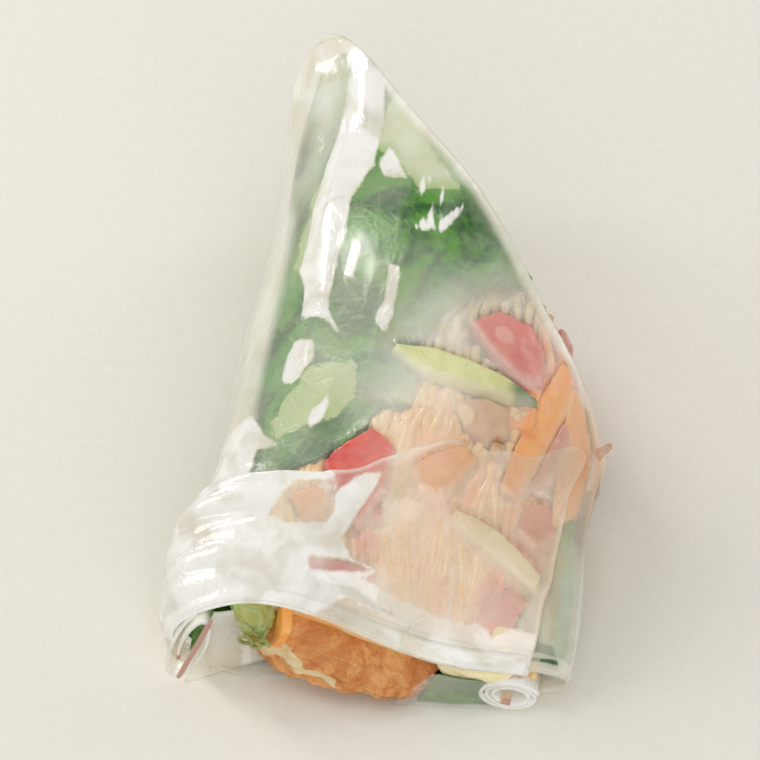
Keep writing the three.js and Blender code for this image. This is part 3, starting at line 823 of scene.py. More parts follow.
def joined(parts: Iterable[Mesh]) -> Mesh:
    """Several meshes put into one, which uses them up."""
    whole, _ = new_mesh()
    for part in parts:
        data = bpy.data.meshes.new("part")
        part.to_mesh(data)
        part.free()
        whole.from_mesh(data)
        bpy.data.meshes.remove(data)
    return whole


def facing_out(mesh: Mesh, middle: Callable[[Vector], Vector] = FORM.beside) -> Mesh:
    """Turns an open sheet so that most of it looks away from the middle, given beside each point."""
    bmesh.ops.recalc_face_normals(mesh, faces=mesh.faces)
    outwards = 0.0
    for face in mesh.faces:
        centre = face.calc_center_median()
        outwards += (centre - middle(centre)).dot(face.normal) * face.calc_area()
    if outwards < 0:
        bmesh.ops.reverse_faces(mesh, faces=mesh.faces)
    return mesh


class Workbench:
    """Makes objects from meshes and ties them to the frame."""

    def __init__(self) -> None:
        """Starts with no finish made."""
        self.materials: dict[Finishes, Material] = {}

    def material(self, finish: Finishes) -> Material:
        """The material of a finish, made once."""
        if finish not in self.materials:
            self.materials[finish] = finish.value.material()
        return self.materials[finish]

    def add(
        self, name: str, mesh: Mesh, finish: Finishes, nodes: Iterable[str] = (), thickness: float = 0.0
    ) -> None:
        """Puts a finished mesh in the scene.

        Args:
            name: The piece's name.
            mesh: Its mesh, in millimetres in the roll's own space.
            finish: What it is made of.
            nodes: The frame's nodes that it stands for.
            thickness: For a sheet, its thickness inwards in millimetres.
        """
        for vert in mesh.verts:
            vert.co = FORM.place(vert.co)
        data = bpy.data.meshes.new(name)
        mesh.to_mesh(data)
        mesh.free()
        data.polygons.foreach_set("use_smooth", [True] * len(data.polygons))
        data.materials.append(self.material(finish))
        piece = bpy.data.objects.new(name, data)
        bpy.context.scene.collection.objects.link(piece)
        piece.visible_shadow = finish is not Finishes.PAPER  # wet paper lets the light through
        if thickness:
            wall = piece.modifiers.new("wall", "SOLIDIFY")
            wall.thickness = thickness * MM
            wall.offset = -1.0
        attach(piece, "root")
        if nodes:
            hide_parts(*nodes)
        LOG.info("%s: %d faces", name, len(data.polygons))


# ---------- slices under the paper ----------


@dataclass(frozen=True)
class Slice:
    """A slice that lies against the inside of the paper, as its section seen from above.

    skin_at is where its skin or core shows, with a radius. clear is how far the paper over it loses its
    milk. hides_white is False where the paper's white fold, with its painted highlight, goes on over it.
    crumb marks a piece that stands for no node of the frame. edge is how round its edges are.
    """

    name: str
    finish: Finishes
    section: Outline | Strip
    depth: float
    skin_at: Place | None = None
    inset: float = 0.85
    clear: float = 0.7
    hides_white: bool = True
    crumb: bool = False
    edge: float = 0.32

    def mesh(self) -> Mesh:
        """A block with crisp edges between two depths under the paper."""
        wide, long = self.section.half

        def shape(spot: Vector) -> Dot:
            """The point of the slice for a point of the straight block."""
            x, y = self.section.at(spot.x, spot.y)
            under = self.inset + self.depth / 2 - spot.z + 0.2 * rough(x * 0.7, y * 0.7, 5.0)
            skin = 0.0
            if self.skin_at:
                skin = 1 - smooth(0, self.skin_at[2], math.dist((x, y), self.skin_at[:2]))
            return FORM.under(x + 0.15 * rough(x * 1.3, y * 1.3, 1.0), y, under), {"skin": skin}

        cells = (clipped(round(wide * 5), 10, 30), clipped(round(long * 5), 8, 20), 4)
        return block(cells, (wide, long, self.depth / 2), self.edge, shape)

    def build(self, bench: Workbench) -> None:
        """Adds the slice."""
        bench.add(self.name, self.mesh(), self.finish, () if self.crumb else (self.name,))


SLICES = (
    Slice(
        "tomato_slice_back", Finishes.TOMATO_SOFT,
        Outline(((5.4, 36), (8.2, 38.8), (12.2, 39), (14.2, 36.4), (14.6, 32.4), (12.2, 31.2), (8.2, 33.4))),
        2.6, (9.5, 36, 2.2), clear=0.6,
    ),
    Slice(
        "cucumber_strip", Finishes.CUCUMBER,
        Strip(((-2.6, 31), (2.6, 29.7), (8, 29.5), (14.4, 29.6)), (0.9, 3.4, 3.0, 0.9)),
        1.6, (14.4, 29.6, 6.0), inset=0.6,
    ),
    Slice(
        "carrot_stick_long", Finishes.CARROT_PALE,
        Strip(((16.8, 37), (15.9, 30.6), (14.3, 23.5), (12.9, 18.2)), (1.6, 2.9, 3.0, 2.1)),
        2.4, inset=1.05, clear=0.6,
    ),
    Slice(
        "onion_strip_side", Finishes.ONION_PINK,
        Strip(((17.8, 29.8), (17.3, 26), (16.5, 22.4), (15.5, 20.2)), (0.8, 1.7, 1.5, 0.7)), 1.4,
    ),
    Slice(
        "mushroom_slice", Finishes.MUSHROOM_PALE,
        Outline(((5.4, 25.8), (8.6, 27.4), (11.4, 27.2), (11.9, 24.8), (9.6, 22.8), (6.9, 23.4))),
        1.8, (6.6, 24.6, 2.4), clear=0.25,
    ),
    Slice(
        "tomato_dice", Finishes.TOMATO,
        Outline(((-8.4, 17), (-7.3, 18.6), (-3.6, 21.4), (-0.4, 19.4), (-0.9, 14.6), (-3.3, 11), (-6, 13.6))),
        2.6, (-3.0, 12.0, 7.5), hides_white=False,
    ),
    Slice(
        "carrot_dice", Finishes.CARROT_PALE,
        Outline(((1.6, 17.4), (4.2, 19.6), (7.4, 21.4), (9, 20.2), (7, 16.6), (5.1, 14.8), (3.1, 15.4))),
        2.2, clear=0.85,
    ),
    Slice(
        "carrot_slice_left", Finishes.CARROT_PALE,
        Outline(((-11.8, 13.4), (-8.8, 14.6), (-6.9, 13.4), (-7.3, 11.7), (-9.8, 11.3))), 1.6,
    ),
    Slice(
        "omelette_strip", Finishes.OMELETTE,
        Strip(((7.2, 14.2), (12.4, 13.2), (17.6, 11.5)), (1.3, 2.1, 1.6)), 1.8,
    ),
    Slice(
        "tomato_slice_side", Finishes.TOMATO_PALE,
        Outline(((15.8, 19), (18.3, 19.8), (18.7, 16.4), (16.6, 14), (14.5, 14.8), (14.8, 17.4))),
        2.0, inset=1.3,
    ),
    Slice(
        "tomato_slice_front", Finishes.TOMATO_PALE,
        Outline(((11.2, 8), (14.3, 10.2), (16.8, 9.8), (15.4, 7), (13, 5.6), (10.8, 6.4))), 1.6, inset=1.3,
    ),
    Slice(
        "pepper_strip", Finishes.PEPPER,
        Strip(((-8.3, 6.1), (-4.6, 7.0), (-1.0, 7.5)), (2.0, 1.7, 0.8)), 1.2, inset=0.6, clear=0.3,
    ),
    Slice("mushroom_crumb", Finishes.MUSHROOM_PALE, oval(11, 22.3, 0.8, 0.9), 1.2, crumb=True),
    Slice("pepper_crumb", Finishes.TOMATO, oval(-1.2, 12.6, 0.55, 0.6), 1.0, crumb=True),
    Slice(
        "carrot_ribbon_side", Finishes.CARROT_SOFT,
        Outline((
            (17.2, 36.6), (19.2, 34.4), (21, 30), (20.8, 25),
            (19.9, 21.2), (18.2, 16.8), (17.8, 20), (17.6, 27),
        )),
        0.9, inset=1.2, clear=0.3, crumb=True,
    ),
)


def over_slices(x: float, y: float) -> float:
    """How far a place lies inside the slice that it is deepest in."""
    return max(cut.section.depth(x, y) for cut in SLICES)


# ---------- the leaf ----------


@dataclass(frozen=True)
class LeafLining:
    """The leaf that lines the paper, in two layers, with the top bare of leaf at its front."""

    edge: Outline = Outline((
        (-16.5, -10), (-16, 12), (-13.8, 15.6), (-10.4, 17.4), (-5.8, 20), (-3.2, 24.2), (0.5, 24.8),
        (0.5, 27.8), (-2.5, 30.8), (0.8, 33.8), (2.2, 37.5), (7.3, 42.4), (12, 45.5), (60, 60), (60, -10),
    ))
    pale: tuple[Outline, ...] = (
        Outline((
            (-9.4, 72), (-6.2, 66), (-2.3, 59), (1.2, 54.4), (-3, 53.6), (-5.3, 55.6), (-7.8, 60), (-10, 60),
        )),
        Outline((
            (-12.4, 29.8), (-7.4, 29.8), (-5.7, 27), (-8, 23), (-11.2, 22.4), (-14.7, 21), (-15.8, 23.6),
        )),
        Outline(((-16.2, 57.6), (-14.6, 54), (-15.2, 45), (-16.4, 42), (-16.9, 48))),
    )
    side: tuple[Point, ...] = (
        (-10, 3), (5, 5.5), (9.2, 9), (12.4, 11.6), (20.6, 14.8), (28.8, 15.6), (70, 24),
    )
    thickness: float = 0.35

    def bare(self, point: Vector) -> float:
        """How far a point lies inside the place where the leaf is missing, below zero on the leaf."""
        above = self.edge.depth(point.x, point.y, 4.0) + 0.6 * rough(point.x * 0.8, point.y * 0.8)
        rim = point.z - along(self.side, point.y) + 0.5 * rough(point.y * 0.5, point.z * 0.5, 4.0)
        return min(above, rim)

    def ribs(self, x: float, y: float) -> float:
        """How near a place is to the leaf's middle rib or a side rib."""
        middle = x + 6 - 0.02 * y
        run = (y - 0.9 * abs(middle)) % 8.5 - 4.25
        side = 0.6 * hump(run, 0.6 * rough(x * 0.3, y * 0.1), 0.3) * smooth(0.2, 1.0, abs(middle))
        return max(0.8 * hump(middle, 0, 0.5), side)

    def layer(self, inset: float, past: float, seed: float) -> Mesh:
        """One layer of leaf, which stands past the cut, with ruffles set by its own seed."""

        def bend(u: float, v: float) -> Dot:
            """The point for a share round the roll and a share along it."""
            angle = tau * u
            end = FORM.cut_on(angle, inset, past) + 0.7 * round_rough(4, angle, seed)
            x = FORM.skin(2.0, angle, inset).x
            ahead = lerp(3.0, -1.1, (smooth(3, 8, x) - smooth(13, 15, x)) * smooth(0.1, -0.2, sin(angle)))
            ahead -= 1.2 * smooth(15, 18, x) * smooth(-0.5, 0.0, sin(angle))
            y = lerp(FORM.mouth(x) + ahead, end, v)
            wave = 0.2 * rough(5 * angle, 0.16 * y, seed)
            wave += 0.45 * smooth(end - 5, end, y) * round_rough(7, angle, seed + 2)
            point = FORM.skin(y, angle, inset - wave)
            pale = max(spot.depth(point.x, point.y) for spot in self.pale) if sin(angle) > 0 else NO_PATCH
            return point, {"skin": self.ribs(point.x, point.y) * 0.4, "patch": pale}

        mesh = sheet(220, 150, bend, weld=True)
        self.open_window(mesh)
        return facing_out(mesh)

    def open_window(self, mesh: Mesh) -> None:
        """Cuts the bare place out of a layer, and draws the new edge onto its line."""
        gone = [f for f in mesh.faces if self.bare(f.calc_center_median()) > 0]
        bmesh.ops.delete(mesh, geom=gone, context="FACES")
        steps = (Vector((0.1, 0, 0)), Vector((0, 0.1, 0)), Vector((0, 0, 0.1)))
        for vert in mesh.verts:
            if vert.is_boundary and abs(self.bare(vert.co)) < 1.8:
                for _ in range(4):
                    here = self.bare(vert.co)
                    slope = Vector([(self.bare(vert.co + step) - here) / 0.1 for step in steps])
                    if slope.length_squared > 0.1:
                        vert.co -= slope * (here / slope.length_squared) * 0.9

    def build(self, bench: Workbench) -> None:
        """Makes both layers."""
        bench.add("leaf_outer", self.layer(1.5, 0.5, 1.0), Finishes.LEAF, ["leaf_lining"], self.thickness)
        bench.add("leaf_inner", self.layer(2.15, 0.9, 9.0), Finishes.LEAF, ["leaf_lining"], self.thickness)


LEAF = LeafLining()


# ---------- the paper ----------


@dataclass(frozen=True)
class RicePaper:
    """The wet paper: a long sheet round the roll, a second turn at its front, and its folds.

    hem is the radius of the turned-in front edge, and long_hem and turn_hem the share of each sheet that
    goes into it. ridge, pale_edge and thin_line run along the roll, each an x at stops of y. seam is the
    second turn's edge over the roll and tuck a small fold at its front, each a y at stops of x.
    right_edge is its end on the right, an angle at stops of y. bubbles are white places on the long
    sheet, air blisters and folds that also carry painted highlights; white_and_highlight_band is the white
    part of the second turn, milky paper with painted highlights on it, and clear_in_band its clear places,
    all seen from above, and shrink is how much smaller the bubbles are than their outlines.
    """

    thickness: float = 0.4
    hem: float = 0.42
    long_hem: float = 0.05
    turn_hem: float = 0.1
    shrink: float = 0.22
    start_angle: float = 3.85
    ridge: tuple[Point, ...] = ((26, -13), (36, -12.4), (45, -13.2), (55, -12.8), (66, -11.8), (76, -11.4))
    pale_edge: tuple[Point, ...] = (
        (15, -16.8), (24, -17.6), (40, -17.6), (51, -17.9), (57, -19.6), (68, -20.2), (76, -18.3),
    )
    thin_line: tuple[Point, ...] = ((56, -19.6), (66, -18.6), (72, -17.2), (78, -14.5))
    seam: tuple[Point, ...] = ((-7, 15.2), (9, 21), (14, 22.5), (21, 28.8))
    right_edge: tuple[Point, ...] = ((2, 0.63), (9, 0.59), (12.4, 0.534), (20.6, 0.454), (29, 0.33))
    tuck: tuple[Point, ...] = ((-4, 4.8), (2, 4.6), (7.6, 3.8), (10.3, 2.8))
    # white places of the long sheet: air blisters and folds, and painted highlights such as the long streak
    # on the left ridge
    bubbles: tuple[Outline, ...] = (
        Outline((
            (-13.2, 73), (-9.8, 71.5), (-9.2, 64.4), (-9.4, 56.4), (-10.9, 50.6), (-10.7, 45.2),
            (-10.9, 40.2), (-10.7, 35.4), (-8.8, 31.6), (-11.4, 34.2), (-14.1, 34.6), (-14.4, 38.4),
            (-16.0, 41.8), (-15.5, 45.2), (-15.8, 51.6), (-15.4, 58.4), (-14.3, 65),
        )),
        Outline(((-14.4, 32.4), (-11.6, 31.6), (-11.4, 29.2), (-13.9, 26.4), (-15.4, 27.2), (-15.2, 30))),
        Outline(((-10.1, 45.4), (-8.5, 43.6), (-8.9, 39.2), (-10.2, 39.6))),
        Outline((
            (-5.3, 41.6), (-3.4, 41), (-3.3, 36.8), (-3.2, 34.2), (-3.9, 31.8), (-5.6, 33.6), (-4.9, 36.6),
        )),
        Outline(((-8.1, 60), (-4.8, 53.8), (-7.9, 53.9), (-9.2, 56))),
        Outline(((-3.2, 55), (-1.9, 54.2), (-2.9, 51), (-4.1, 51.8))),
        Outline(((-0.7, 53.2), (0.1, 52.2), (-1.1, 45.8), (-3.5, 46), (-1.9, 48.4))),
        Outline(((2.6, 52), (2.2, 48.8), (0.5, 45.6), (-1, 46), (0.4, 48.8))),
        Outline(((-8.5, 25.6), (-9.1, 21.6), (-11.4, 19.8), (-11, 22.6))),
        Outline(((-18.1, 24.6), (-16.2, 21.2), (-13.6, 18.6), (-16.7, 19), (-17, 15), (-22, 15), (-22, 24))),
    )
    # the second turn's white: milky paper, with painted highlights along the left of the band and along the
    # lip
    white_and_highlight_band: Outline = Outline((
        (-40, 30), (-7, 22), (-6.9, 15.4), (-6.1, 13.4), (-3.6, 15.2), (-1.2, 15.6), (-2.1, 13.6),
        (-4.0, 11.0), (-5.0, 9.4), (-3.6, 8.0), (-0.7, 7.6), (-2.2, 6.6), (0.3, 6.5), (8, 6.3),
        (18.2, 7.2), (22, 8.2), (40, 6), (40, -6), (-40, -6),
    ))
    clear_in_band: tuple[Outline, ...] = (
        Outline(((-11.4, 14.2), (-6.5, 14.6), (-6.1, 11.6), (-6.9, 10.4), (-11.2, 9.8), (-13.6, 10.6))),
        Outline(((-8, 1.4), (-3.4, 4.7), (2, 4.5), (7.6, 3.7), (10.3, 2.6), (10, -6), (-8, -6))),
    )

    def relief(self, x: float, y: float, angle: float) -> float:
        """How far out the wrinkles and what the paper clings to push it."""
        up, across = sin(angle), cos(angle)
        out = 0.14 * rough(3.2 * angle, 0.05 * y, 2.0) + 0.12 * rough(9 * angle, 0.09 * y, 4.0)
        if up > 0:
            out += 0.32 * smooth(-0.9, 0.5, over_slices(x, y))
            line = x - along(self.ridge, y)
            out += 0.8 * hump(line, 0, 1.9) * smooth(24, 34, y)
            out -= 0.3 * hump(line, -4.4, 1.8) * smooth(30, 44, y)
            out += 0.25 * hump(x - 0.5 * (y - 50), 2.0, 0.8) * smooth(38, 46, y)
            puff = 2.3 * smooth(60, 74, y) * smooth(82, 76, y)
            out += puff * smooth(0.1, 0.7, up) * smooth(0.1, -0.6, across)
        pull = 1 - smooth(6, 26, y)
        out += pull * 0.35 * rough(2.4 * angle + 0.12 * y, 0.2 * y, 8.0)
        folds = abs(sin(0.42 * y + 0.9 * angle)) + 0.5 * abs(sin(1.0 * y - 0.7 * angle))
        return out + smooth(-0.35, -0.9, across) * (1 - smooth(13, 19, y)) * 0.95 * folds

    def milk(self, x: float, y: float, angle: float) -> float:
        """How much the paper covers what lies under it, from 0 to 1."""
        up = sin(angle)
        cover = lerp(0.14, 0.07, smooth(36, 46, y) * smooth(-15, -12, x))
        cover += 0.08 * rough(x * 0.25, y * 0.12, 3.0)
        cover += 0.42 * smooth(0.5, -1.2, x - along(self.pale_edge, y)) * smooth(-0.1, 0.45, up)
        cover += 0.16 * smooth(-14.0, -16.5, x) * smooth(50, 58, y) * smooth(-21, -19.5, x)
        cover += 0.18 * smooth(-8, -1, x) * (1 - smooth(26, 40, y - 0.5 * x)) * smooth(20.5, 19, x)
        cover += 0.26 * smooth(-12, -14, x) * smooth(56, 68, y) * smooth(-0.1, 0.3, up)
        cover += (0.14 if x < 0 else 0.08) * (1 - smooth(-0.35, 0.3, up))
        cover += (0.24 * hump(y, 28, 7) + 0.22 * (1 - smooth(14, 20, y))) * smooth(18.5, 20.5, x)
        cover *= 1 - 0.35 * hump(x - along(self.thin_line, y), 0, 1.1) * smooth(56, 61, y)
        if up > 0 and y > 24:
            cover += 0.17 * hump(LEAF.edge.depth(x, y, 8.0), 1.5, 3.6)
            cover += 0.32 * smooth(-1.5, 1.5, LEAF.pale[0].depth(x, y))
        if up > 0:
            cover *= 1 - max(cut.clear * smooth(-0.4, 0.5, cut.section.depth(x, y)) for cut in SLICES)
        return cover

    def stain(self, x: float, y: float) -> float:
        """How much warm juice the paper has taken up from the carrot and the tomato."""
        middle = smooth(4, 8, y) * smooth(-5, 4, x) * (1 - smooth(20, 30, y - 0.9 * max(x - 8, 0)))
        return max(0.7 * smooth(17.5, 20.5, x) * hump(y, 28, 7), 0.3 * middle * smooth(21, 19.5, x))

    def bubble(self, x: float, y: float, angle: float) -> float:
        """How far a place lies inside the white places of the long sheet, with their painted highlights."""
        below = sin(angle) < 0
        return NO_PATCH if below else max(bubble.depth(x, y) for bubble in self.bubbles) - self.shrink

    def white(self, x: float, y: float, angle: float) -> float:
        """Depth of a place in the second turn's white folds and painted highlights, below zero outside."""
        if sin(angle) < 0:
            return -0.35
        gaps = [-hole.depth(x, y) for hole in self.clear_in_band]
        gaps += [0.3 - cut.section.depth(x, y) for cut in SLICES if cut.hides_white]
        return min(self.white_and_highlight_band.depth(x, y), *gaps)

    def hemmed(self, share: float, start: float) -> Point:
        """The station and depth a share of the way along the turned-in front edge, outside first."""
        if share < 0.5:
            turn = pi * share / 0.5
            return start + self.hem * (1 - sin(turn)), self.hem * (1 - cos(turn))
        return start + self.hem + 1.4 * (share - 0.5) / 0.5, 2 * self.hem

    def dot(self, y: float, angle: float, inset: float, milk: float, patch: float, x: float) -> Dot:
        """A point of the paper, never under the table, with its numbers, the stain as it is at x."""
        point = FORM.skin(y, angle, inset)
        point.z = max(point.z, 0.0)
        return point, {"milk": milk, "patch": patch, "skin": self.stain(x, y)}

    def long_point(self, u: float, v: float) -> Dot:
        """The point of the long sheet for a share round the roll and one along it, hem first."""
        angle = tau * u
        start = FORM.mouth_on(angle) + 0.5
        end = FORM.cut_on(angle, 0) + 0.45 + 0.5 * round_rough(3, angle, 1.0)
        y, deep = lerp(start + self.hem, end, (max(v - self.long_hem, 0) / (1 - self.long_hem)) ** 1.05), 0.0
        if v < self.long_hem:
            y, deep = self.hemmed(1 - v / self.long_hem, start)
        x = FORM.skin(y, angle, 0).x
        flare = 0.5 * smooth(end - 2.5, end, y) * (0.4 + round_rough(5, angle, 6.0))
        out = 0.0 if deep else self.relief(x, y, angle) + flare
        front = 1 - smooth(-1.5, 0.5, y - along(self.seam, x)) if sin(angle) > 0 else 0.0
        front *= smooth(-0.06, 0.02, angle - along(self.right_edge, y))
        milk = lerp(self.milk(x, y, angle), 0.07, front) + 0.5 * smooth(end - 2.4, end - 0.4, y)
        patch = lerp(self.bubble(x, y, angle), NO_PATCH, front)
        return self.dot(y, angle, deep - out, milk, patch, x)

    def turn_point(self, u: float, v: float) -> Dot:
        """The point of the second turn for a share across it, left first, and one along, hem first."""
        y, angle, x, start = lerp(2.0, 16.0, v), 0.0, 0.0, 0.0
        for _ in range(6):
            angle = lerp(self.start_angle, along(self.right_edge, y), u)
            x = FORM.skin(max(y, 0.5), angle, 0).x
            start = FORM.mouth(x)
            seam = along(self.seam, x) + 0.3 * rough(x * 0.4, 1.0)
            y = lerp(start + self.hem, seam, max(v - self.turn_hem, 0) / (1 - self.turn_hem))
        deep = 0.0
        if v < self.turn_hem:
            y, deep = self.hemmed(1 - v / self.turn_hem, start)
        out = 0.0 if deep else self.relief(x, y, angle)
        out += 0.35 * hump(y, along(self.tuck, x), 0.5) * smooth(-5, -3, x)
        fade = smooth(4.5, 9, x) * smooth(0.45, 0.8, v)
        lift = 0.42 + 0.2 * smooth(0.9, 1.0, v) + 0.15 * smooth(0.97, 1.0, u)
        lift = lerp(lerp(lift, -0.3, fade), 0.05, smooth(0.1, 0.0, u))
        milk = self.milk(x, y, angle) + 0.1 * smooth(6, 3, y) + 0.12 * smooth(-4, 2, x)
        milk += 0.3 * smooth(0.965, 1.0, v) * (1 - fade) + 0.25 * smooth(0.985, 1.0, u)
        milk += 0.22 * smooth(-5, -7, x)
        return self.dot(y, angle, deep - out - lift, milk, self.white(x, y, angle), x)

    def build(self, bench: Workbench) -> None:
        """Makes the sheets of paper and the rolled corners."""
        sheets = [
            ("paper_long", facing_out(sheet(230, 170, self.long_point, weld=True))),
            ("paper_turn", facing_out(sheet(190, 90, self.turn_point))),
        ]
        for name, mesh in sheets + [(scroll.name, scroll.mesh()) for scroll in SCROLLS]:
            bench.add(name, mesh, Finishes.PAPER, ["rice_paper"], self.thickness)


@dataclass(frozen=True)
class Scroll:
    """A corner of the paper rolled into a small tube at the mouth."""

    name: str
    x: float
    z: float
    front: float
    wide: float
    tall: float
    lean: float
    turns: float
    start: float
    back: float = 12.0

    def mesh(self) -> Mesh:
        """The tube that the sheet is rolled into."""

        def bend(u: float, v: float) -> Dot:
            """The point for a share along the spiral and a share along the tube."""
            angle = self.start + tau * self.turns * u
            size = (1 - 0.42 * v) * (1 - 0.5 * u) * (1 + 0.08 * rough(3 * u, 4 * v, 2.0))
            out_x, out_z = self.wide * size * cos(angle), self.tall * size * sin(angle)
            x = self.x + out_x * cos(self.lean) - out_z * sin(self.lean)
            y = lerp(self.front, self.back, v) + 0.5 * sin(angle) * (1 - v)
            z = self.z + out_x * sin(self.lean) + out_z * cos(self.lean)
            skin = smooth(0.95, 0.97, u) * smooth(0.3, 0.0, v)
            paint = {"milk": 0.6 + 0.3 * smooth(0.12, 0.0, v), "patch": 0.5 - 4 * v, "skin": skin}
            return Vector((x, y, max(z, 0.0))), paint

        return facing_out(sheet(120, 24, bend), lambda p: Vector((self.x, p.y, self.z)))


SCROLLS = (
    Scroll("paper_scroll_left", -20.9, 5.7, 0.0, 2.4, 6.2, -0.38, 1.3, 2.2),
    Scroll("paper_scroll_right", 15.9, 2.0, 1.9, 3.9, 1.8, 0.03, 2.7, 0.4),
)


@dataclass(frozen=True)
class Panel:
    """A small sheet between four corners, two low and two high, that bulges in the middle."""

    name: str
    finish: Finishes
    low: tuple[Place, Place]
    high: tuple[Place, Place]
    bulge: Place
    milk: float = 0.0
    skin: float = 0.0
    folded: bool = False
    thickness: float = 0.4

    def build(self, bench: Workbench) -> None:
        """Makes the sheet."""

        def bend(u: float, v: float) -> Dot:
            """The point for a share across the sheet and a share up it."""
            low = Vector(self.low[0]).lerp(Vector(self.low[1]), u)
            high = Vector(self.high[0]).lerp(Vector(self.high[1]), u)
            point = low.lerp(high, v) + Vector(self.bulge) * sin(pi * u) * sin(pi * v)
            point.y += 0.35 * rough(2.5 * u, 2.0 * v, self.low[0][0])
            patch = 0.45 - 2.2 * abs(u - 0.62 + 0.25 * v) * 4 if self.folded else NO_PATCH
            return point, {"milk": self.milk, "skin": self.skin, "patch": patch}

        mesh = facing_out(sheet(24, 24, bend), lambda p: p + Vector((0.0, 1.0, 0.0)))
        nodes = ("rice_paper",) if self.finish is Finishes.PAPER else ()
        bench.add(self.name, mesh, self.finish, nodes, self.thickness)


PANELS = (
    Panel(
        "paper_tuck_left", Finishes.PAPER, ((-21.4, -0.4, 0.1), (-11.0, 5.0, 0.8)),
        ((-18.2, 0.8, 10.8), (-9.5, 4.4, 9.8)), (0.0, 0.9, -0.6), milk=0.62, folded=True,
    ),
    Panel(
        "paper_tuck_right", Finishes.PAPER, ((2.6, 0.2, 0.1), (14.5, 1.2, 0.2)),
        ((7.2, 0.8, 5.0), (14.0, 1.9, 3.6)), (0.0, -0.3, 0.0), milk=0.16,
    ),
    Panel(
        "paper_corner_right", Finishes.PAPER, ((21.5, 29.6, 15.8), (21.7, 30.0, 13.6)),
        ((23.0, 30.9, 15.4), (23.0, 30.7, 15.0)), (0.0, 0.0, 0.2), milk=0.5, skin=0.9,
    ),
    Panel(
        "leaf_tip_right", Finishes.LEAF, ((5.4, 1.2, 0.3), (13.8, 2.0, 0.3)),
        ((7.6, 1.8, 4.2), (13.2, 2.6, 3.2)), (0.0, -0.3, 0.0),
    ),
    Panel(
        "leaf_tip_left", Finishes.LEAF, ((-21.6, 2.6, 1.6), (-19.2, 2.2, 1.0)),
        ((-20.6, 3.6, 9.6), (-18.6, 3.2, 9.8)), (0.0, -0.4, 0.0), thickness=0.5,
    ),
)


# ---------- fillings that lie along the roll ----------


class End(Enum):
    """How a filling ends at the cut."""

    WITH_THE_CUT = "with the cut"
    SQUARE = "square"


class Marks(Enum):
    """Where a filling's cut end shows its second colour."""

    NONE = "none"
    RIM = "rim"
    CORE = "core"
    GILLS = "gills"
    ONE_SIDE = "one side"
    OVER = "over"
    BELOW = "below"

    def at(self, rim: float, side: float, x: float, z: float) -> float:
        """Reads the marks.

        Args:
            rim: 0 in the middle of the cut end, 1 at its rim and along the sides.
            side: -1 on the section's lower long side, 1 on its upper one.
            x: The place in the layout of the full cross-section.
            z: The place in the layout of the full cross-section.

        Returns:
            1 where the second colour is, 0 where it isn't.
        """
        if self is Marks.RIM:
            return smooth(0.74, 0.94, rim)
        if self is Marks.CORE:
            return 1 - smooth(0.3, 0.6, rim)
        if self is Marks.GILLS:
            return hump(rim, 0.55, 0.24) * smooth(-0.4, 0.3, sin(0.9 * x + 0.4 * z))
        if self in (Marks.OVER, Marks.BELOW):
            return smooth(0.35, 0.75, side if self is Marks.OVER else -side)
        if self is Marks.ONE_SIDE:
            return smooth(0.8, 0.95, rim) * smooth(0.2, 0.6, sin(1.7 * x + 0.6 * z))
        return 0.0


@dataclass(frozen=True)
class Strand:
    """A filling that runs along the roll to the cut, from its section in the full cross-section.

    past is how far it stands out of the cut, front the station where it starts, and dome how round its
    cut end is. lean is how far its end is pulled sideways and up.
    """

    section: Outline | Strip
    past: float
    seed: float = 1.0
    marks: Marks = Marks.NONE
    radius: float = 0.35
    dome: float = 0.25
    end: End = End.WITH_THE_CUT
    front: float = 27.0
    lean: Point = (0.0, 0.0)
    cells: tuple[int, int, int] = (14, 12, 26)

    def mesh(self) -> Mesh:
        """A block bent into the strand, closed at both ends."""
        middle = self.section.middle
        wide, tall = self.section.half
        long = (FORM.cut_y(middle[0], self.past) - self.front) / 2

        def shape(spot: Vector) -> Dot:
            """The point of the strand for a point of the straight block."""
            x, z = self.section.at(spot.x, spot.y)
            rim = max(abs(spot.x) / wide, abs(spot.y) / tall)
            far = FORM.cut_y(x if self.end is End.WITH_THE_CUT else middle[0], self.past)
            y = lerp(self.front, far, (spot.z + long) / (2 * long))
            face = smooth(long - 0.5, long, spot.z)
            y += face * self.dome * (1 - rim**4)
            y += face * 0.3 * rough(x * 0.8, z * 0.8, self.seed)
            near = max(y - far + 16, 0.0) - 13
            swell = 1 + 0.05 * rough(2 * cos(math.atan2(spot.y, spot.x)), 0.25 * y, self.seed)
            x = middle[0] + (x - middle[0]) * swell + self.lean[0] * near
            z = middle[1] + (z - middle[1]) * swell + self.lean[1] * near
            marks = self.marks.at(rim if face > 0.5 else 1.0, spot.y / tall, x, z)
            return FORM.filling(x, y, z), {"skin": marks}

        return block(self.cells, (wide, tall, long), self.radius, shape)


@dataclass(frozen=True)
class Filling:
    """One filling that is a single strand."""

    name: str
    finish: Finishes
    strand: Strand

    def build(self, bench: Workbench) -> None:
        """Adds the filling."""
        bench.add(self.name, self.strand.mesh(), self.finish, [self.name])


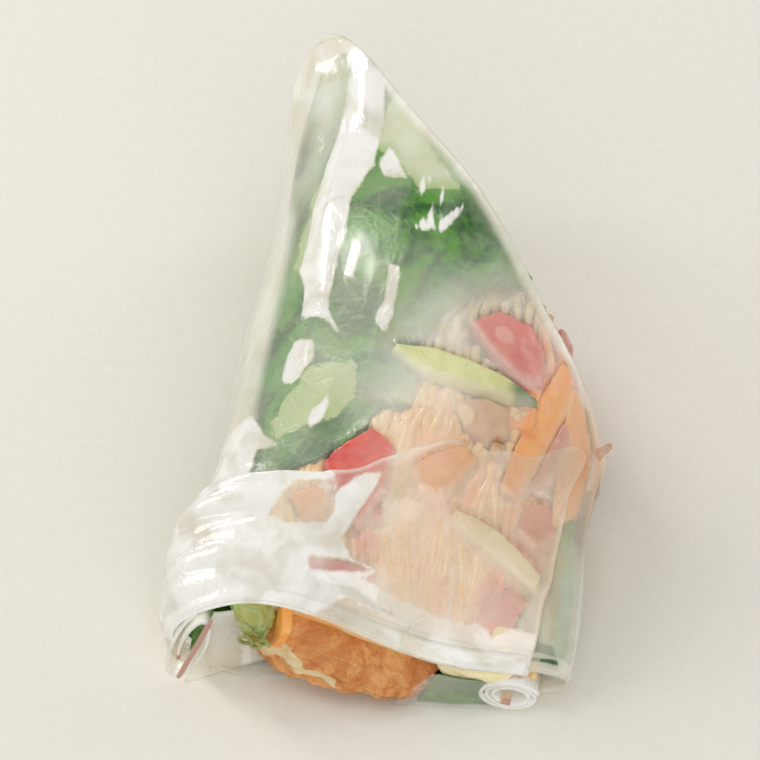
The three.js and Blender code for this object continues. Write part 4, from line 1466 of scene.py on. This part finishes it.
FILLINGS = (
    Filling(
        "tofu_cube_a", Finishes.TOFU,
        Strand(oval(4.6, 14.2, 1.7, 2.2, 0.15, 7), 1.0, marks=Marks.RIM, dome=0.0, end=End.SQUARE),
    ),
    Filling(
        "tofu_cube_b", Finishes.TOFU,
        Strand(oval(4.2, 7.8, 1.8, 3.0, -0.12, 7), 0.9, 2, Marks.RIM, dome=0.1),
    ),
    Filling(
        "tofu_cube_c", Finishes.TOFU,
        Strand(oval(0.9, 17.5, 2.4, 1.5, 0.2, 7), 1.4, 3, Marks.RIM, dome=0.0, end=End.SQUARE),
    ),
    Filling(
        "tomato_wedge", Finishes.TOMATO,
        Strand(
            Outline((
                (-1.9, 14.8), (-1.4, 12), (0.2, 10.7), (2.2, 11.2), (3.1, 13.4), (2.6, 15.6), (0.4, 15.9),
            )),
            1.3, 4, Marks.CORE, 0.7,
        ),
    ),
    Filling(
        "mushroom_a", Finishes.MUSHROOM,
        Strand(oval(-0.2, 7.1, 2.5, 3.2, 0.35, 3.4), 1.0, 5, Marks.GILLS, 0.7, 0.35),
    ),
    Filling(
        "mushroom_b", Finishes.MUSHROOM,
        Strand(oval(-4.0, 13.9, 2.0, 3.1, -0.25, 3.4), 1.4, 6, Marks.GILLS, 0.7, 0.4),
    ),
    Filling(
        "mushroom_c", Finishes.MUSHROOM,
        Strand(oval(-5.2, 7.1, 2.3, 3.1, -0.35, 3.0), 0.7, 7, Marks.GILLS, 0.7, 0.35),
    ),
    Filling(
        "daikon_chunk", Finishes.DAIKON,
        Strand(
            Outline(((-12.6, 5.4), (-10.6, 4.6), (-8.1, 5.4), (-7.7, 7.6), (-9, 9.6), (-12, 9.2))), 1.0, 8,
        ),
    ),
    Filling(
        "daikon_wedge", Finishes.DAIKON,
        Strand(Outline(((16, 9.2), (17.6, 10), (17.9, 13), (16.9, 15.6), (15.7, 13.6), (15.4, 11))), -0.2, 9),
    ),
    Filling(
        "onion_arc", Finishes.ONION,
        Strand(
            Strip(((12.2, 21), (8.6, 22.6), (3.2, 22.8)), (0.9, 1.2, 0.8)),
            0.9, 10, Marks.BELOW, 0.25, cells=(24, 5, 26),
        ),
    ),
    Filling(
        "onion_wedge", Finishes.ONION,
        Strand(
            Strip(((2.4, 20.4), (-1.8, 19.9), (-5.6, 18.2)), (1.0, 2.0, 0.9)),
            1.7, 11, Marks.OVER, 0.3, cells=(22, 7, 26),
        ),
    ),
    Filling(
        "onion_strip", Finishes.ONION,
        Strand(
            Strip(((-2.6, 25), (-6, 25.1), (-9, 23.8)), (0.7, 1.0, 0.8)),
            1.2, 12, Marks.BELOW, 0.25, cells=(20, 5, 26),
        ),
    ),
    Filling("onion_end_high", Finishes.ONION_PINK, Strand(oval(15.5, 20, 1.1, 1, -0.4, 3.5), 3, 13)),
    Filling("onion_end_low", Finishes.ONION_PINK, Strand(oval(17, 17.1, 0.9, 1.4, 0.2, 3.5), 2.4, 14)),
    Filling(
        "carrot_stick_top", Finishes.CARROT,
        Strand(
            Strip(((0.6, 22.6), (-5.4, 22.9), (-11.6, 22.0)), (1.3, 1.7, 1.3)),
            1.3, 15, radius=0.25, cells=(26, 5, 26),
        ),
    ),
)


@dataclass(frozen=True)
class Bundle:
    """Sticks set close together round a core, each a little out of line.

    step is their spacing, size a stick's width and thickness, turn its mean turn and how far that
    varies, spread how far it leans, and reach how much the ends differ in length. core_past is where
    the core ends against the cut, and back how far in from the cut the sticks start.
    """

    name: str
    finish: Finishes
    core: Outline
    step: Point
    size: Point
    turn: Point
    spread: float
    reach: float
    marks: Marks = Marks.NONE
    core_past: float = -2.2
    back: float = 16.0

    def sticks(self) -> list[Strand]:
        """Every stick whose middle lies inside the core's outline."""
        left, right, low, high = self.core.box
        made = []
        for row in range(math.ceil((high - low) / self.step[1])):
            for column in range(math.ceil((right - left) / self.step[0]) + 1):
                number = 7.0 * row + column
                x = left + (column + 0.5 * (row % 2)) * self.step[0] + 0.3 * rough(number * 0.7, 2.0)
                z = low + (row + 0.5) * self.step[1] + 0.3 * rough(number * 0.7, 9.0)
                if self.core.depth(x, z) < 0.3:
                    continue
                turn = self.turn[0] + self.turn[1] * rough(number * 1.3, 4.0)
                wide = self.size[0] * (0.5 + 0.4 * rough(number * 1.9, 14.0))
                off = wide * cos(turn), wide * sin(turn)
                section = Strip(((x - off[0], z - off[1]), (x + off[0], z + off[1])), (self.size[1],) * 2)
                lean = self.spread * rough(number * 0.9, 6.0), 0.6 * self.spread * rough(number * 0.9, 16.0)
                past = 0.6 + self.reach * rough(number * 1.1, 12.0)
                made.append(
                    Strand(
                        section, past, number, self.marks, radius=0.22, dome=0.0,
                        front=FORM.cut_y(x) - self.back, lean=lean, cells=(4, 4, 12),
                    )
                )
        return made

    def build(self, bench: Workbench) -> None:
        """Makes the bundle as one piece: its core and its sticks."""
        strands = [Strand(self.core, self.core_past)] + self.sticks()
        bench.add(self.name, joined(strand.mesh() for strand in strands), self.finish, [self.name])


BUNDLES = (
    Bundle(
        "carrot_shreds", Finishes.CARROT,
        Outline((
            (6.0, 4.6), (12.8, 4.4), (15.2, 9.5), (15.4, 13), (14.6, 18.6), (9, 20.4), (5.4, 19.2), (6.0, 12),
        )),
        (2.6, 1.5), (4.4, 1.25), (-0.6, 2.6), 0.12, 5.0,
    ),
    Bundle(
        "cucumber_shreds", Finishes.SHREDS,
        Outline(((-12.2, 10.6), (-6.4, 10.8), (-6.2, 20.6), (-12.2, 20.8))),
        (2.2, 1.9), (3.0, 1.5), (0.5, 2.4), 0.05, 3.0, Marks.ONE_SIDE,
    ),
)


@dataclass(frozen=True)
class Ribbon:
    """A sheet of leaf on edge that runs along the roll and ruffles towards the cut."""

    name: str
    finish: Finishes
    line: tuple[Point, ...]
    past: float
    ruffle: float
    thickness: float
    rib: float
    front: float = 27.0

    def build(self, bench: Workbench) -> None:
        """Makes the ribbon."""

        def bend(u: float, v: float) -> Dot:
            """The point for a share along the ribbon's line and a share along the roll."""
            x, z = curve(self.line, u)
            run = u * (len(self.line) - 1)
            far = FORM.cut_y(x, self.past) + 1.2 * rough(1.6 * run, 5.0)
            y = lerp(self.front, far, v)
            wave = self.ruffle * smooth(far - 12, far, y)
            x += wave * (rough(1.5 * run, 0.2 * y, 1.0) + 0.4 * rough(4.1 * run, 0.5 * y, 3.0))
            z += 0.5 * wave * rough(1.3 * run, 0.2 * y, 6.0)
            rib = max(hump(u, self.rib, 0.04), 0.5 * hump((u * 9 + 0.05 * y) % 1.0, 0.5, 0.09))
            return FORM.filling(x, y, z), {"skin": rib * 0.8, "patch": 0.4 - 0.25 * (far - y)}

        mesh = facing_out(sheet(20 * (len(self.line) - 1), 60, bend))
        bench.add(self.name, mesh, self.finish, [self.name], self.thickness)


RIBBONS = (
    Ribbon(
        "lettuce_frill", Finishes.FRILL,
        (
            (-12.8, 5.2), (-15.2, 6.6), (-13.2, 8.6), (-15.9, 10.6), (-13.4, 12.8),
            (-16.2, 15), (-13.6, 17), (-16, 19.2), (-14, 21.4),
        ),
        1.4, 1.6, 0.6, 0.3,
    ),
    Ribbon(
        "leaf_fold", Finishes.FOLD,
        ((-16.4, 6), (-18, 10.3), (-18.4, 15), (-17.3, 20), (-14.3, 23.9), (-9.7, 26.4)), 0.8, 0.7, 0.8, 0.55,
    ),
)


@dataclass(frozen=True)
class Tangle:
    """Rice noodles under the paper, lying half sunk in a soft mass of more of them.

    mass is the left, the right and the bottom of that mass, heap_end the station where it stops at the
    latest and sunk how far its top lies below the noodles. bed is a strand that goes on under it.
    """

    name: str
    finish: Finishes
    mass: Place
    spread: Point
    front: float
    back: float
    count: int
    layers: tuple[float, ...]
    radius: float
    tilt: float
    sunk: float
    to_cut: bool = False
    bed: Strand | None = None
    heap_end: float = 44.0

    def tint(self, point: Vector) -> Paint:
        """How orange and how rose the noodles are at a point, by what lies near."""
        if self.to_cut:
            return {"milk": 0.8 * smooth(50, 34, point.y) * smooth(9, 14, point.x)}

        def near(x: float, y: float, spread: float) -> float:
            """How near the point is to a place seen from above."""
            return hump(math.dist((point.x, point.y), (x, y)), 0, spread)

        orange = max(near(6.0, 18.0, 5.5), smooth(13, 16.5, point.x) * smooth(16, 22, point.y))
        rose = max(near(17.2, 16.0, 4.5), near(14.0, 8.2, 4.5), 0.7 * near(-3.0, 10.5, 3.0))
        return {"milk": 0.95 * orange, "skin": 0.85 * rose}

    def inset(self, x: float, y: float) -> float:
        """How far under the paper the noodles start, more under the leaf and under the slices."""
        bare = smooth(-0.8, 1.6 + 1.6 * self.to_cut, LEAF.bare(FORM.under(x, y, 2.0)))
        under = 2.2 * smooth(-0.9 - 0.6 * self.to_cut, 0.1, over_slices(x, y)) + 1.3 * smooth(10, 5, y)
        return lerp(3.3 + 0.03 * max(abs(x) - 12, 0) ** 2, 1.4, bare) + under

    def path(self, number: int) -> list[Vector]:
        """The points down the middle of one noodle, close together at its ends."""
        base = lerp(*self.spread, (number + 0.5) / self.count)
        layer = self.layers[number % len(self.layers)]
        lean = self.tilt * rough(number * 1.37, 3.0)
        start = self.front + 2.5 * rough(number * 0.9, 5.0)
        shares = [0.0, 0.005, 0.015] + [lerp(0.04, 0.96, i / 32) for i in range(33)] + [0.985, 0.995, 1.0]
        points = []
        for share in shares:
            y = lerp(start, self.back, share)
            x = base + 2.2 * rough(0.13 * y, number * 0.73) + lean * (y - (self.front + self.back) / 2)
            if self.to_cut:
                y = lerp(start, FORM.cut_y(x, 0.9 + 0.9 * rough(number * 1.7, 8.0)), share)
            x = clipped(x, -16.0, 20.8)
            points.append(FORM.under(x, y, self.inset(x, y) + layer + 0.2 * rough(0.3 * y, number * 2.1)))
        return points

    def heap(self) -> Mesh:
        """The soft mass that the noodles on top half sink into."""
        left, right, low = self.mass
        half = Vector(((right - left) / 2, 6.0, (self.back - self.front) / 2))

        def shape(spot: Vector) -> Dot:
            """The point of the mass for a point of the straight block."""
            x = (left + right) / 2 + spot.x
            end = min(self.back, self.heap_end, FORM.cut_y(x) - 2)
            y = lerp(self.front - 1.4, end, 0.5 + 0.5 * spot.z / half.z)
            top = FORM.under(x, y, self.inset(x, y) + self.sunk + 0.3 * rough(x * 0.7, y * 0.4, 3.0))
            up = 0.5 + 0.5 * spot.y / half.y
            return Vector((top.x * lerp(0.85, 1, up), top.y, lerp(low, top.z, up))), self.tint(top)

        return block((48, 8, 36), half, 1.2, shape)

    def build(self, bench: Workbench) -> None:
        """Makes the mass and the noodles as one piece."""
        parts = [tube(self.path(number), self.radius, self.tint) for number in range(self.count)]
        parts += [self.heap()] + ([self.bed.mesh()] if self.bed else [])
        bench.add(self.name, joined(parts), self.finish, [self.name])


BED = Strand(
    Strip(((-6, 26.4), (-1, 26.2), (4, 25.7), (9, 24.5), (13.8, 21.9)), (1.2, 2.4, 3.2, 3.4, 1.4)),
    -0.6, 21, cells=(40, 8, 30),
)
TANGLES = (
    Tangle(
        "noodles_back", Finishes.NOODLE, (-4.0, 17.0, 22.0), (-5.0, 17.5), 27.0, 64.0, 60,
        (0.0, 0.8, 1.6), 0.55, 0.16, 0.35, to_cut=True, bed=BED,
    ),
    Tangle(
        "noodles_front", Finishes.NOODLE_WARM, (-16.2, 20.2, 4.4), (-15.0, 21.0), 5.2, 31.0, 120,
        (0.0, 0.45, 0.2, 0.7), 0.58, 0.9, 0.75,
    ),
)


# ---------- what shows in the mouth ----------


@dataclass(frozen=True)
class Loaf:
    """A rounded block that lies along the roll, squarer than a ball."""

    name: str
    finish: Finishes
    x: float
    z: float
    wide: float
    tall: float
    front: float
    back: float
    square: float
    lumps: float
    lean: float = 0.0
    streak: tuple[Point, ...] = ()
    burnt: Point | None = None

    def marks(self, x: float, z: float) -> Paint:
        """How pale and how burnt a place of the layout is."""
        pale = [hump(off_side(x, z, a, b), 0, 1.2) for a, b in zip(self.streak, self.streak[1:])]
        burnt = hump(math.dist((x, z), self.burnt), 0, 1.8) if self.burnt else 0.0
        return {"skin": max(pale, default=0.0), "milk": burnt}

    def build(self, bench: Workbench) -> None:
        """Makes the loaf."""
        power = 2 / self.square

        def bend(u: float, v: float) -> Dot:
            """The point of the closed loaf for a share round its length and a share along it."""
            around, flat = tau * u, sin(pi * v)
            x = self.x + self.wide * signed_power(flat * cos(around), power)
            z = self.z + self.tall * signed_power(flat * sin(around), power)
            y = lerp(self.front, self.back, 0.5 - 0.5 * signed_power(cos(pi * v), power))
            bump = self.lumps * rough(x * 0.35, y * 0.5, z * 0.35)
            bump += 0.5 * self.lumps * rough(x * 1.1, y * 1.3, z * 0.9)
            x += self.lean * (z - self.z)
            point = FORM.filling(x + bump * cos(around), y - 1.4 * bump * (1 - v), z + bump * sin(around))
            return point, self.marks(x, z)

        mesh = sheet(110, 70, bend, weld=True)
        bmesh.ops.recalc_face_normals(mesh, faces=mesh.faces)
        bench.add(self.name, mesh, self.finish, [self.name])


MOUTH = (
    Loaf(
        "fried_tofu", Finishes.BROWNED, -2.8, 12.4, 10.2, 9.2, -0.7, 22.0, 3.2, 0.7,
        streak=((-11, 12), (-9.3, 14.5), (-8.2, 17), (-6.8, 13), (-5.2, 14), (-4, 10.5)), burnt=(6.8, 14.0),
    ),
    Loaf("lettuce_piece", Finishes.OLIVE, -11.9, 22.2, 2.4, 5.4, 0.2, 12.0, 2.6, 0.6),
    Loaf("omelette_fold", Finishes.OMELETTE, 11.0, 23.2, 4.0, 3.2, 2.8, 7.5, 4.0, 0.2),
    Loaf("carrot_sliver", Finishes.CARROT_PALE, -9.0, 20.6, 0.65, 5.4, 0.3, 8.0, 5.0, 0.1, 0.14),
)


@dataclass(frozen=True)
class Curls:
    """Small rings of leaf stem under the lettuce, and the paper's rolled edge beside them."""

    rings: tuple[Place, ...] = ((-14.4, 8.0, 0.8), (-13.2, 7.4, 0.65), (-12.2, 8.0, 0.6))
    edge: tuple[Place, ...] = ((-22.4, -0.7, 0.7), (-20.6, -0.9, 5.2), (-18.4, 0.2, 10.4))
    stem: float = 0.26
    roll: float = 0.34

    def build(self, bench: Workbench) -> None:
        """Makes the rings and the rolled edge."""
        parts = []
        for x, z, size in self.rings:
            path = []
            for i in range(25):
                turn = tau * 0.9 * i / 24
                path.append(Vector((x + size * cos(turn), 0.04 * i - 0.6, z + size * sin(turn))))
            parts.append(tube(path, self.stem, lambda _: {"skin": 0.0, "patch": NO_PATCH}))
        bench.add("lettuce_curls", joined(parts), Finishes.OLIVE)
        low, middle, high = (Vector(point) for point in self.edge)
        line = [low.lerp(middle, i / 20).lerp(middle.lerp(high, i / 20), i / 20) for i in range(21)]
        rolled = tube(line, self.roll, lambda _: {"milk": 0.95, "skin": 1.0, "patch": NO_PATCH})
        bench.add("paper_rolled_edge", rolled, Finishes.PAPER, ["rice_paper"])


# ---------- the studio ----------


@dataclass(frozen=True)
class Softbox:
    """One soft light."""

    name: str
    toward: Place
    distance: float
    wide: float
    long: float
    power: float
    colour: Place = (1.0, 0.98, 0.95)

    def build(self) -> None:
        """Hangs the light, facing the roll."""
        data = bpy.data.lights.new(self.name, "AREA")
        data.shape = "RECTANGLE"
        data.size, data.size_y = self.wide, self.long
        data.energy, data.color = self.power, self.colour
        light = bpy.data.objects.new(self.name, data)
        direction = Vector(self.toward).normalized()
        light.location = direction * self.distance + Vector((0, 0, 0.015))
        light.rotation_euler = direction.to_track_quat("Z", "Y").to_euler()
        light.visible_camera = False
        bpy.context.scene.collection.objects.link(light)


LIGHTS = (
    Softbox("key_strip", (-0.63, 0.45, 0.63), 0.6, 0.07, 0.42, 1.1),
    Softbox("left_window", (-0.83, 0.02, 0.55), 0.7, 0.16, 0.3, 0.6),
    Softbox("top", (0.1, -0.2, 1.0), 1.0, 0.9, 0.9, 1.7),
    Softbox("front", (0.25, -0.85, 0.5), 0.9, 0.8, 0.4, 2.0),
    Softbox("back", (0.7, 0.65, 0.4), 1.1, 0.5, 0.4, 1.2),
)


@dataclass(frozen=True)
class Studio:
    """A pale table, soft lights and the camera."""

    azimuth: float = 10.0
    elevation: float = 45.0
    distance: float = 1.8
    frame_width: float = 0.0885
    aim: Place = (-0.0052, 0.0, 0.01055)
    air: float = 0.42

    def build(self) -> None:
        """Sets the table, the lights and the camera."""
        self.table()
        for box in LIGHTS:
            box.build()
        self.surround()
        self.camera()

    def table(self) -> None:
        """A large pale table, which isn't part of the roll."""
        mesh = bmesh.new()
        bmesh.ops.create_grid(mesh, x_segments=8, y_segments=8, size=4.0)
        data = bpy.data.meshes.new("table")
        mesh.to_mesh(data)
        mesh.free()
        tree = Tree("table")
        grain = tree.cloud(tree.millimetres(), 1.2, 3.0)
        colour = tree.blend(grain, (243, 240, 231), (236, 232, 221))
        data.materials.append(tree.finish({"Base Color": colour, "Roughness": 0.8}))
        table = bpy.data.objects.new("table", data)
        bpy.context.scene.collection.objects.link(table)

    def surround(self) -> None:
        """Even light from all round."""
        world = bpy.data.worlds.new("air")
        world.use_nodes = True
        back = world.node_tree.nodes["Background"]
        back.inputs["Color"].default_value = (0.98, 0.99, 1.0, 1.0)
        back.inputs["Strength"].default_value = self.air
        bpy.context.scene.world = world
        bpy.context.scene.view_settings.view_transform = "Standard"

    def camera(self) -> None:
        """A long lens from the front, well above the roll."""
        data = bpy.data.cameras.new("camera")
        data.lens = data.sensor_width * self.distance / self.frame_width
        data.clip_end = 20.0
        camera = bpy.data.objects.new("camera", data)
        side, high = math.radians(self.azimuth), math.radians(self.elevation)
        back = Vector((sin(side) * cos(high), -cos(side) * cos(high), sin(high)))
        camera.location = Vector(self.aim) + back * self.distance
        camera.rotation_euler = (-back).to_track_quat("-Z", "Y").to_euler()
        bpy.context.scene.collection.objects.link(camera)
        bpy.context.scene.camera = camera


# ---------- the roll ----------


def main() -> None:
    """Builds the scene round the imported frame."""
    logging.basicConfig(level=logging.INFO, format="%(name)s: %(message)s")
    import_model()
    bench = Workbench()
    food = (*SLICES, *FILLINGS, *BUNDLES, *RIBBONS, *TANGLES, *MOUTH)
    for part in (*food, *PANELS, Curls(), LEAF, RicePaper()):
        part.build(bench)
    Studio().build()
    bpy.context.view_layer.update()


if __name__ == "__main__":
    main()
